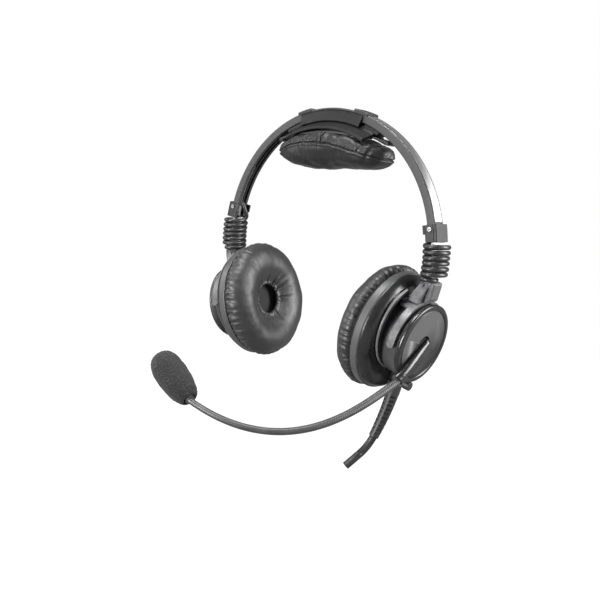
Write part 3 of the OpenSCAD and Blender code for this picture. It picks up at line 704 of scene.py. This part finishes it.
def press_out(grid):
    """The cushion's grid pressed out by its padding, from a cloth pass on a coarser grid"""
    coarse = grid[::CLOTH_ROWS, ::CLOTH_COLUMNS]
    rows, columns = coarse.shape[:2]
    obj = piece("cloth_pass", coarse, grid_faces(rows, columns, True, True), Matrix.Scale(MM, 4))
    height, radius = coarse[..., 2].ravel(), np.hypot(coarse[..., 0], coarse[..., 1]).ravel()
    held = np.where((height > -1.3) | ((radius < 26) & (height > -7.0)) | (radius < 12.2))[0]
    moves = inflate(obj, held, reach=1.1, grow=0.05, mass=0.25, stiffness=18.0)
    mesh = obj.data
    bpy.data.objects.remove(obj)
    bpy.data.meshes.remove(mesh)
    if moves is None:
        return grid
    moves = (moves / MM).reshape(coarse.shape)
    at_row = np.arange(grid.shape[0]) / CLOTH_ROWS
    at_column = np.arange(grid.shape[1]) / CLOTH_COLUMNS
    row, column = np.floor(at_row).astype(int), np.floor(at_column).astype(int)
    part_row = smooth01(at_row - row)[:, None, None]
    part_column = smooth01(at_column - column)[None, :, None]
    for j, weight_column in ((0, 1 - part_column), (1, part_column)):
        for i, weight_row in ((0, 1 - part_row), (1, part_row)):
            corner = moves[np.ix_((row + i) % rows, (column + j) % columns)]
            grid = grid + weight_row * weight_column * corner
    return grid


def ear_cushion(side):
    rng = np.random.default_rng(CUSHION_SEED[side])
    rows, columns = 384, 96
    profile = spline(CUSHION, columns, closed=True)
    radius, height = profile.T
    arc = along_path(profile)
    seam, hole = (int(np.argmin(np.hypot(radius - at[0], height - at[1])))
                  for at in (SEAM_AT, HOLE_AT))
    from_seam = np.maximum(arc - arc[seam], 0)[None, :]
    from_hole = np.maximum(arc[hole] - arc, 0)[None, :]
    grid = press_out(ring_grid(rows, radius, height))
    # normals point away from the middle of the padding
    normal = grid_normals(grid)
    away = grid - ring_grid(rows, np.array([27.0]), -8.0)
    normal *= np.sign((normal * away).sum(2, keepdims=True))
    index = np.arange(columns)[None, :]
    zones = {"seam": (from_seam, (index >= seam) & (from_seam < 40)),
             "hole": (from_hole, (index <= hole) & (from_hole < 34) & (index > seam))}
    relief = 0
    for start, *ranges, fan, rise in CUSHION_FOLDS:
        dist, zone = zones[start]
        field = fold_field(around(rows), dist, np.maximum(radius[None, :], 5),
                           random_folds(rng, *ranges), fan, rise)
        relief = relief + np.where(zone, field, 0)
    flat = grid.reshape(-1, 3)
    uneven = (soft_noise(flat, 1 / 17.0, octaves=2) * 0.55
              + soft_noise(flat, 1 / 5.0, octaves=2) * 0.10).reshape(rows, columns)
    free = (smooth01(from_seam / 5.0) * smooth01(from_hole / 5.0)
            * ((index >= seam) & (index <= hole)))
    grid = grid + normal * (relief + uneven * free)[..., None]
    obj = piece("ear_cushion_%s_leather" % side, grid, grid_faces(rows, columns, True, True),
                cup(side))
    register(obj, "leather", "cup_" + side, ["ear_cushion_" + side])


def cushion_welt(side):
    """Welt cord in the gap between the cushion and the flange ring, near black so that it also
    paints the shade in that gap
    """
    rows, columns = 240, 12
    section = around(columns)[:, 0]
    grid = ring_grid(rows, 39.75 + 0.9 * np.cos(section), -0.28 + 0.7 * np.sin(section))
    obj = piece("cushion_welt_" + side, grid, grid_faces(rows, columns, True, True), cup(side))
    register(obj, "welt", "cup_" + side)


def ear_cloth(side):
    """Sagging disc of cloth across the ear opening"""
    rows, columns = 96, 30
    edge, thickness = 21.3, 0.45
    radius = np.linspace(0.6, edge, columns)
    sag = (-1.45 - 1.1 * (1 - (radius / edge) ** 2)
           + 0.12 * np.sin(9 * around(rows) + 0.6) * (radius / edge) ** 2)
    face = ring_grid(rows, radius, sag)
    back = face[:, ::-1] + np.array([0, 0, thickness])
    size = 2 * columns
    faces = grid_faces(rows, size)
    faces += [tuple(i * size + j for i in range(rows)) for j in (0, size - 1)]
    obj = piece("ear_cloth_%s_weave" % side, np.concatenate([face, back], 1), faces, cup(side))
    register(obj, "weave", "cup_" + side, ["ear_cloth_" + side])


for side in SIDES:
    ear_cushion(side)
    cushion_welt(side)
    ear_cloth(side)


# ---------------------------------------------------------------- head pad
PAD_LENGTH, PAD_WIDTH = 94.0, 40.0      # along x and y
# seam round the pad, lower towards the boom side
SEAM_X = [-47, -36, -30, -22, -14, -2, 9, 16, 24, 31, 38, 47]
SEAM_Z = [111.8, 114.6, 116.9, 118.7, 119.5, 119.8, 119.3, 118.0, 116.3, 114.8, 113.1, 111.0]
# broad slack folds of the wall: x, slant, half width, depth
SLACK_FOLDS = ((-24, 0.9, 1.6, 0.5), (-13, 0.7, 2.2, 0.45), (17, -0.8, 2.6, 0.55),
               (33, -0.5, 1.8, 0.6), (40, 0.3, 1.4, 0.5))


def cube_sphere(cuts):
    """Unit directions on a cube's surface grid, spread evenly; (directions, faces)"""
    bm = bmesh.new()
    bmesh.ops.create_cube(bm, size=2.0)
    bmesh.ops.subdivide_edges(bm, edges=bm.edges[:], cuts=cuts - 1, use_grid_fill=True)
    points = np.array([vert.co for vert in bm.verts])
    faces = [tuple(vert.index for vert in face.verts) for face in bm.faces]
    bm.free()
    return unit(np.tan(points * math.pi / 4 * 0.98)), faces


def pad_lid(x):
    """Height the pad may fill: under the strap's plate and, in the middle, under the saddle"""
    strap = -40 + np.sqrt(166.7 ** 2 - x ** 2)
    saddle = BAND_Z + np.sqrt(np.maximum(79.6 ** 2 - x ** 2, 1.0))
    return np.minimum(strap, saddle + 40 * smooth01((np.abs(x) - 35.0) / 2.5))


def pad_floor(x):
    return 102.3 + 1.7 * bell(x - 12, 17) - 1.2 * bell(x + 24, 12) - 2.0 * bell(x - 42, 13)


def swollen_pad():
    """The pad as a superellipsoid between floor and lid, swollen by a cloth pass"""
    direction, faces = cube_sphere(22)
    half_length, half_width, power = 45.6, 18.8, 2.9
    rise_power = np.where(direction[:, 2] > 0, 3.4, 2.75)
    flat = (np.abs(direction[:, 0] / half_length) ** power
            + np.abs(direction[:, 1] / half_width) ** power) ** (1 / power)
    rise = direction[:, 2] / 12.0
    reach = (flat ** rise_power + np.abs(rise) ** rise_power) ** (-1 / rise_power)
    # level runs from -1 at the floor to 1 at the lid
    x, y, level = direction[:, 0] * reach, direction[:, 1] * reach, rise * reach
    top, bottom = pad_lid(x) + 1.2, pad_floor(x) + 0.8
    middle = bottom + 0.52 * (top - bottom)
    z = middle + np.where(level > 0, level * (top - middle), level * (middle - bottom))
    points = np.stack([x, y, z], 1)
    obj = piece("head_pad_leather", points, faces)
    held = np.where((level > 0.75) & (np.abs(y) < 12))[0]
    moves = inflate(obj, held, reach=1.6, grow=0.04, mass=0.2, stiffness=9.0)
    if moves is None:
        moves = unit(points - np.array([0, 0, 114.6])) * 0.0012
        moves[held] = 0
    obj.data.vertices.foreach_set("co", (read_vectors(obj.data) + moves).ravel())
    return obj


def subdivide(obj):
    """Replace the mesh by its third subdivision"""
    subsurf = obj.modifiers.new("sub", "SUBSURF")
    subsurf.levels = subsurf.render_levels = 3
    depsgraph = bpy.context.evaluated_depsgraph_get()
    mesh = bpy.data.meshes.new_from_object(obj.evaluated_get(depsgraph))
    old = obj.data
    obj.modifiers.clear()
    obj.data = mesh
    bpy.data.meshes.remove(old)
    return mesh


def pad_relief(points):
    """Seams, creases and folds, as heights along the normals"""
    x, y, z = points.T
    above = z - (np.interp(x, SEAM_X, SEAM_Z) + 0.2 * np.sin(x * 0.55) * np.cos(y * 0.2))
    edge = smooth01((np.hypot(x / (PAD_LENGTH / 2), y / (PAD_WIDTH / 2)) - 0.55) / 0.2)
    # seam groove with a roll on each side
    relief = edge * (-1.35 * bell(above, 0.5) + 0.50 * bell(above + 1.35, 0.75)
                     + 0.28 * bell(above - 1.35, 0.8))
    # creases across the seam, none on the middle line
    rng = np.random.default_rng(5)
    path = x + 0.6 * np.abs(y)
    for centre in np.arange(-58, 62, 4.6):
        centre += rng.uniform(-1.6, 1.6)
        up, down, width = rng.uniform(3, 8.5), rng.uniform(2, 4.5), rng.uniform(0.4, 0.75)
        depth, slant = rng.uniform(0.25, 0.75), rng.uniform(-0.45, 0.45)
        offset = path - centre - slant * above
        fade = np.clip(1 - np.where(above > 0, above / up, -above / down), 0, 1)
        fade = fade * smooth01(np.abs(above) / 0.7)
        shape = bell(offset, width) - 0.4 * bell(np.abs(offset) - 2 * width, width)
        relief -= (y != 0) * edge * depth * fade * shape
    # joining seams of the side wall, one at the front and one behind
    for facing, seam_x in ((-1, 2.5), (1, -2.5)):
        offset = x - seam_x + 0.12 * (above - 4) * facing - 0.35 * np.sin(above * 1.1)
        wall = (y * facing > 6) * smooth01(above / 0.6)
        relief += wall * (-0.95 * bell(offset, 0.42) + 0.35 * bell(np.abs(offset) - 1.0, 0.5))
    for fold_x, slant, width, depth in SLACK_FOLDS:
        offset = x - fold_x - slant * (above - 3)
        relief -= edge * smooth01(above / 1.5) * depth * bell(offset, width)
    return (relief + soft_noise(points, 1 / 15.0, octaves=2) * 0.8
            + soft_noise(points, 1 / 6.0, octaves=2) * 0.22)


def head_pad():
    obj = swollen_pad()
    mesh = subdivide(obj)
    normals = read_vectors(mesh, "normal")
    points = (read_vectors(mesh) - np.array(ORIGIN)) / MM
    # fit the swollen shape to the space under the strap
    low, high = points.min(0), points.max(0)
    for axis, size in enumerate((PAD_LENGTH, PAD_WIDTH)):
        centre = (low[axis] + high[axis]) / 2
        points[:, axis] = (points[:, axis] - centre) * size / (high[axis] - low[axis])
    points = points + normals * pad_relief(points)[:, None]
    # flat where it is held, full in front of and behind the saddle's edge
    x, y, z = points.T
    lid = pad_lid(x) + (2.0 * smooth01((np.abs(y) - 14.6) / 1.6)
                        * smooth01((40 - np.abs(x)) / 6))
    points[:, 2] = np.minimum(z, lid)
    # the pad sits a little behind the middle
    points[:, 1] += 2.0
    mesh.vertices.foreach_set("co", (points * MM + np.array(ORIGIN)).ravel())
    mesh.polygons.foreach_set("use_smooth", [True] * len(mesh.polygons))
    mesh.update()
    register(obj, "padskin", "headband", ["head_pad"])


head_pad()

# ---------------------------------------------------------------- coil cords
COIL_TOP = 59.4
COIL_PITCH = 3.48
COIL_TURNS = 6.1
COIL_HALF_X, COIL_HALF_Y = 6.8, 8.7
COIL_TAIL = 0.42        # part of a turn that runs in towards the bar at the lower end
STEPS_PER_TURN = 40
CORD_R = 1.6


def coil_point(turns, shrink=1.0, drop=0.0):
    """Point of the coil round the slider bar; the wobble keeps the turns uneven"""
    z = COIL_TOP - turns * COIL_PITCH - drop
    x = math.sqrt(BAR_R * BAR_R - (z - BAND_Z) ** 2)
    angle = math.radians(180 + 360 * turns)
    dx = COIL_HALF_X * shrink * math.cos(angle)
    dy = COIL_HALF_Y * shrink * math.sin(angle)
    wobble = 0.22 * math.sin(2.1 * turns + 0.5) + 0.15 * math.sin(5.3 * turns)
    return np.array([x + 0.4 + dx * (1 + 0.02 * math.sin(1.7 * turns)), dy,
                     z + 0.12 * (0.75 * dx + 0.66 * dy) + wobble * 0.6])


def coil_path():
    first = coil_point(0)
    tangent = unit(coil_point(0.01) - first)
    exit_angle = math.radians(13.5)
    band_exit = (np.array([0, -0.6, BAND_Z]) + (BAND_INNER_R - 2.6)
                 * np.array([math.cos(exit_angle), 0, math.sin(exit_angle)]))
    lead = bezier(band_exit + np.array([1.5, 0, 2.5]), band_exit + np.array([-2.2, -0.6, -5]),
                  first - 7 * tangent + np.array([-1, 0, 2.2]), first,
                  np.linspace(0, 1, 26, endpoint=False))
    points = [coil_point(i / STEPS_PER_TURN) for i in range(int(COIL_TURNS * STEPS_PER_TURN))]
    tail_steps = COIL_TAIL * STEPS_PER_TURN
    for i in range(int(tail_steps)):
        done = i / tail_steps
        points.append(coil_point(COIL_TURNS + done * COIL_TAIL, shrink=1 - 0.75 * done ** 2.2,
                                 drop=1.2 * done ** 1.5))
    return np.vstack([lead, np.array(points)])


for side in SIDES:
    place = half(side)
    obj = tube("coil_cord_%s_jacket" % side, coil_path(), CORD_R, 16, place, True)
    register(obj, "rubber", replaces=["coil_cord_" + side])
    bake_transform(obj)

# ---------------------------------------------------------------- gooseneck
# Bezier points from the boom to the microphone
NECK = ((88.3, -22.2, -29.2), (86.1, -54.1, -40.7), (76.8, -105.8, -74.6), (10, -126, -46))
NECK_D_BOOM, NECK_D_MIC = 5.4, 4.0
NECK_JOIN = 0.51        # curve parameter where the two sleeves meet
RIB_PITCH, RIB_DEPTH = 1.55, 0.20
MIC_FRAME = shift(*NECK[3]) @ turn("Z", 178.2) @ turn("Y", 57.9)


def neck(t):
    return bezier(*NECK, t)


def neck_piece(name, start, end, run_in):
    t = np.linspace(start, end, int(1100 * (end - start)))
    path = neck(t)
    if run_in:
        # the end turns into the microphone's axis inside the foam
        axis = np.array(MIC_FRAME @ Vector((0, 0, 1)) - MIC_FRAME @ Vector((0, 0, 0)))
        last, heading = path[-1], unit(path[-1] - path[-2])
        steps = np.linspace(0.1, 1, 14)
        path = np.vstack([path, bezier(last, last + 2.0 * heading,
                                       last + 2.4 * heading + 1.2 * axis,
                                       last + 2.6 * heading + 3.4 * axis, steps)])
        t = np.concatenate([t, t[-1] + 0.03 * steps])
    # length along the whole curve, so that the ribs run on from piece to piece
    whole = np.linspace(0, 1, 2001)
    length = np.interp(t, whole, along_path(neck(whole))) + np.maximum(t - 1, 0) * 150
    fade = 1 - 0.75 * smooth01((t - 0.35) / 0.5)
    rib = np.abs(np.sin(math.pi * length / RIB_PITCH)) ** 0.7
    radius = (NECK_D_BOOM + (NECK_D_MIC - NECK_D_BOOM) * t) / 2 - RIB_DEPTH * fade * (1 - rib)
    return tube(name, path, radius, 24)


# name, start, end, turns into the microphone, CAD nodes replaced, bodies and span of the blend
for name, start, end, run_in, replaced, bodies, span in (
    ("lower", 0.004, NECK_JOIN, False, ("gooseneck_base", "gooseneck_middle"),
     ("boom", "gooseneck"), (0.23, 0.37)),
    ("upper", NECK_JOIN, 1.0, True, ("gooseneck_tip",), ("gooseneck", "microphone"), (0.64, 0.80)),
):
    obj = neck_piece("gooseneck_%s_sleeve" % name, start, end, run_in)
    register(obj, "neck", replaces=replaced)
    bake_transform(obj)

# ---------------------------------------------------------------- windscreen
FOAM_START, FOAM_LENGTH, FOAM_R = 1.5, 39.0, 10.2
# fraction of the length, fraction of the radius
FOAM_PROFILE = (
    (0.135, 0.345), (0.06, 0.36), (0.015, 0.385), (0.0, 0.45), (0.012, 0.54), (0.05, 0.64),
    (0.12, 0.765), (0.24, 0.885), (0.38, 0.955), (0.52, 0.995), (0.64, 1.0), (0.76, 0.955),
    (0.86, 0.845), (0.93, 0.69), (0.975, 0.46), (0.995, 0.22), (1.0, 0.03),
)


def windscreen():
    outline = [(radius * FOAM_R, FOAM_START + part * FOAM_LENGTH) for part, radius in FOAM_PROFILE]
    points, faces = revolve(spline(outline, 190), 240, False)
    # a slight bend makes one flank fuller
    part = np.clip((points[:, 2] - FOAM_START) / FOAM_LENGTH, 0, 1)
    points[:, 0] += 0.35 * np.sin(math.pi * part)
    core = np.stack([0 * part, 0 * part, np.clip(points[:, 2], 9, 29)], 1)
    outward = unit(points - core)
    cells = np.array([noise.voronoi((x * 0.95, y * 0.95, z * 0.95))[0][0] for x, y, z in points])
    relief = ((0.45 - cells) * 0.42 + soft_noise(points, 1.1, octaves=2) * 0.12
              + soft_noise(points, 0.16, octaves=1) * 0.25)
    off_axis = smooth01((np.hypot(points[:, 0], points[:, 1]) - 1.0) / 2.0)
    points = points + outward * relief[:, None] * off_axis[:, None]
    obj = piece("windscreen_foam_cover", points, faces, BASE @ MIC_FRAME)
    register(obj, "foam", "microphone", ["windscreen"])


windscreen()

# ---------------------------------------------------------------- boom arm
ARM_START, ARM_END = -4.6, 31.0     # along the arm, from the disc's centre
ARM_FOOT = 27.5                     # height of the arm's underside


def boom_arm():
    """Tapered arm with a soft ridge, rounded where it leaves the disc"""
    rows, columns = 90, 44
    along = np.linspace(0, 1, rows)
    x = ARM_START + (ARM_END - ARM_START) * along
    nose = np.sqrt(np.clip(1 - np.clip(1 - (x - ARM_START) / 2.6, 0, 1) ** 2, 0, 1))
    half_width = (2.5 + 1.95 * along) * np.maximum(nose, 0.03)
    top = 28.6 + np.maximum(nose, 0.03) * (3.6 + 2.0 * smooth01(along * 1.1))
    bottom = ARM_FOOT - 0.6 * smooth01((x - 27.4) / 1.5)
    x, nose, half_width, top, bottom = (row[:, None] for row in (x, nose, half_width, top, bottom))
    angle = around(columns).T
    cos, sin = np.cos(angle), np.sin(angle)
    y = np.sign(cos) * np.abs(cos) ** 0.82 * half_width
    z = (top + bottom) / 2 + np.sign(sin) * np.abs(sin) ** 0.80 * (top - bottom) / 2
    # the upper half leans into a ridge off the middle
    upper = np.clip(sin, 0, 1) ** 2
    y = y * (1 - 0.42 * upper) + 0.7 * nose * upper
    # the foot stays inside the groove
    foot = smooth01((29.2 - z) / 0.5)
    y = y * (1 - foot) + np.clip(y, -3.45, 3.45) * foot
    grid = np.stack(np.broadcast_arrays(x, y, z), 2)
    faces = grid_faces(rows, columns, False, True) + end_caps(rows, columns)
    obj = piece("boom_arm_moulding", grid, faces, cup("left") @ turn("Z", BOOM_TURN))
    bevel = obj.modifiers.new("bevel", "BEVEL")
    bevel.limit_method = "ANGLE"
    bevel.angle_limit = math.radians(50)
    bevel.width = 0.4 * MM
    bevel.segments = 3
    register(obj, "arm", "boom", ["boom_arm"])


boom_arm()


# ---------------------------------------------------------------- rims, a painted highlight and painted shadows
def collar_lip(side, spans):
    """Rolled edge of the collar that stands round the drum, light grey as a painted highlight
    along it; spans in degrees
    """
    for i, (start, end) in enumerate(spans):
        angle = np.radians(np.linspace(start, end, int((end - start) / 1.5) + 2))
        path = np.stack([-1.6 + 30.2 * np.cos(angle), 6.2 + 29.3 * np.sin(angle),
                         np.full(len(angle), 13.3)], 1)
        obj = tube("collar_lip_%s_%d" % (side, i), path, 0.85, 14, cup(side), True)
        register(obj, "lip", "cup_" + side)


def cover_painted_shadow(name, y):
    """Painted shadow: a black cord along the joint between the band and the upper edge of the
    crown cover, standing in for the shadow gap
    """
    angle = np.radians(np.linspace(72.9, 107.1, 90))
    radius = BAND_R - 1.6
    path = np.stack([radius * np.cos(angle), np.full(len(angle), y),
                     BAND_Z + radius * np.sin(angle)], 1)
    register(tube(name, path, 0.55, 10), "slot", "headband")


def arm_slot_liner():
    """Painted shadow: a black plate on the disc face beside the boom arm that stands in for the
    shaded groove
    """
    corners = [(x, y, z) for x in (-3.0, 24.2) for y in (-5.3, -1.5) for z in (28.86, 29.07)]
    faces = [(0, 1, 3, 2), (4, 6, 7, 5), (0, 4, 5, 1), (2, 3, 7, 6), (0, 2, 6, 4), (1, 5, 7, 3)]
    obj = piece("arm_slot_liner", corners, faces, cup("left") @ turn("Z", BOOM_TURN), False)
    register(obj, "slot", "boom")


def arm_recess_painted_shadow():
    """Painted shadow: a black disc in the recess round the arm's inner end"""
    radius, top = 5.9, ARM_FOOT
    low = top - 0.15
    points, faces = revolve([(0.0, low), (radius, low), (radius, top), (0.0, top)], 64, False)
    obj = piece("arm_recess_painted_shadow", points, faces, cup("left"))
    register(obj, "slot", "boom")


def disc_rim(name, side, body, inner, outer, low, high):
    """Black band round the edge of a cup's outer face"""
    width = high - low
    # radius, height
    profile = [
        (outer - 0.4, low + 0.2), (outer + 0.12, low + 0.3), (outer + 0.16, low + 0.45 * width),
        (outer + 0.1, low + 0.8 * width), (outer - 0.35, high + 0.02), (outer - 1.0, high + 0.14),
        (inner + 0.9, high + 0.12), (inner + 0.35, high - 0.1), (inner, high - 0.5),
        (inner, high - 0.9), (outer - 0.8, high - 0.9),
    ]
    obj = piece(name, *revolve(profile, 200, True), cup(side))
    register(obj, "gloss", body)


collar_lip("left", ((113.5, 247), (301, 426.5)))
collar_lip("right", ((113.5, 426.5),))
cover_painted_shadow("cover_painted_shadow_front", -5.40)
cover_painted_shadow("cover_painted_shadow_back", 5.40)
arm_slot_liner()
arm_recess_painted_shadow()
disc_rim("boom_disc_rim", "left", "boom", inner=23.6, outer=27.2, low=26.2, high=28.95)
disc_rim("outer_cover_rim", "right", "cup_right", inner=24.4, outer=27.3, low=25.9, high=27.85)

# ---------------------------------------------------------------- floor
FLOOR_R, FLOOR_SIDES = 40, 64       # metres
FLOOR_DROP = 0.004                  # metres below the lowest point


def floor_material():
    """Diffuse, paler to the camera; to the camera it is mostly glow, all glow further out"""
    material = bpy.data.materials.new("floor_pale")
    tree = Tree(material)
    out = tree.node("ShaderNodeOutputMaterial")
    surface = tree.node("ShaderNodeMixShader")
    diffuse = tree.node("ShaderNodeBsdfDiffuse")
    color = tree.node("ShaderNodeMix", data_type="RGBA")
    glow = tree.node("ShaderNodeEmission")
    coords = tree.node("ShaderNodeTexCoord")
    distance = tree.node("ShaderNodeVectorMath", operation="LENGTH")
    fade = tree.node("ShaderNodeMapRange", interpolation_type="SMOOTHSTEP")
    camera_ray = tree.node("ShaderNodeLightPath").outputs["Is Camera Ray"]
    seen = tree.node("ShaderNodeMath", operation="MULTIPLY")
    share = tree.node("ShaderNodeMath", operation="MAXIMUM")
    seen_share = tree.node("ShaderNodeMath", operation="MULTIPLY")
    for socket, value in (
        (color.inputs[0], camera_ray),
        (color.inputs[6], (0.22, 0.22, 0.22)),
        (color.inputs[7], (0.93, 0.93, 0.93)),
        (diffuse.inputs["Color"], color.outputs[2]),
        (glow.inputs["Color"], (1, 1, 1)),
        (glow.inputs["Strength"], 1.0),
        (distance.inputs[0], coords.outputs["Object"]),
        (fade.inputs["Value"], distance.outputs["Value"]),
        (fade.inputs["From Min"], 0.16),
        (fade.inputs["From Max"], 0.75),
        (seen.inputs[0], camera_ray),
        (seen.inputs[1], 1.0),
        (share.inputs[0], fade.outputs["Result"]),
        (share.inputs[1], 0.80),
        (seen_share.inputs[0], share.outputs[0]),
        (seen_share.inputs[1], seen.outputs[0]),
        (surface.inputs["Fac"], seen_share.outputs[0]),
        (surface.inputs[1], diffuse.outputs[0]),
        (surface.inputs[2], glow.outputs[0]),
        (out.inputs["Surface"], surface.outputs[0]),
    ):
        tree.feed(socket, value)
    return material


def add_floor():
    mesh = bpy.data.meshes.new("floor")
    step = 2 * math.pi / FLOOR_SIDES
    rim = [(FLOOR_R * math.cos(step * i), FLOOR_R * math.sin(step * i), 0)
           for i in range(FLOOR_SIDES)]
    fan = [(0, 1 + i, 1 + (i + 1) % FLOOR_SIDES) for i in range(FLOOR_SIDES)]
    mesh.from_pydata([(0, 0, 0)] + rim, [], fan)
    floor = add_object("floor", mesh)
    floor.location = (0, 0, cad_lo.z - FLOOR_DROP)
    mesh.materials.append(floor_material())


# ---------------------------------------------------------------- light and camera
def add_world():
    """White to the camera, a dim cool fill for everything else"""
    world = bpy.data.worlds.new("studio")
    scene.world = world
    tree = Tree(world)
    out = tree.node("ShaderNodeOutputWorld")
    fill = tree.node("ShaderNodeBackground")
    backdrop = tree.node("ShaderNodeBackground")
    rays = tree.node("ShaderNodeLightPath")
    mix = tree.node("ShaderNodeMixShader")
    for node, color, strength in ((fill, (0.97, 0.985, 1.0), 0.16), (backdrop, (1, 1, 1), 1.0)):
        tree.feed(node.inputs["Color"], color)
        tree.feed(node.inputs["Strength"], strength)
    tree.feed(mix.inputs["Fac"], rays.outputs["Is Camera Ray"])
    tree.feed(mix.inputs[1], fill.outputs[0])
    tree.feed(mix.inputs[2], backdrop.outputs[0])
    tree.feed(out.inputs["Surface"], mix.outputs[0])


def softbox(name, offset, size, power):
    """Area light (metres, watts) aimed at the middle of the headset"""
    middle = (cad_lo + cad_hi) / 2
    light = bpy.data.lights.new(name, "AREA")
    light.shape = "RECTANGLE"
    light.size, light.size_y = size
    light.energy = power
    light.color = (1, 1, 1)
    location = middle + Vector(offset)
    obj = bpy.data.objects.new(name, light)
    obj.location = location
    obj.rotation_mode = "QUATERNION"
    obj.rotation_quaternion = (middle - location).to_track_quat("-Z", "Y")
    scene.collection.objects.link(obj)


def add_camera():
    data = bpy.data.cameras.new("camera")
    camera = add_object("camera", data)
    data.sensor_width = 36
    data.lens = 49.7685
    data.clip_start, data.clip_end = 0.02, 100
    right = Vector((0.74168198, 0.66534380, 0.08500279))
    up = Vector((-0.15388099, 0.04543402, 0.98704427))
    backward = Vector((0.65286176, -0.74515326, 0.13608136))
    matrix = Matrix((right, up, backward)).transposed().to_4x4()
    matrix.translation = BASE @ Vector((380.06825, -455.88278, 89.39825))
    camera.matrix_world = matrix
    scene.camera = camera


add_floor()
add_world()
softbox("strip_right", offset=(0.80, 0.52, 0.30), size=(0.45, 0.8), power=18)
softbox("strip_left", offset=(-0.06, -1.05, -0.02), size=(0.34, 0.8), power=28)
softbox("rim_left", offset=(-0.95, -0.45, 0.35), size=(0.3, 0.7), power=5)
softbox("top", offset=(-0.05, -0.25, 1.0), size=(0.6, 0.4), power=13)
add_camera()
scene.view_settings.view_transform = "Standard"
scene.view_settings.look = "None"
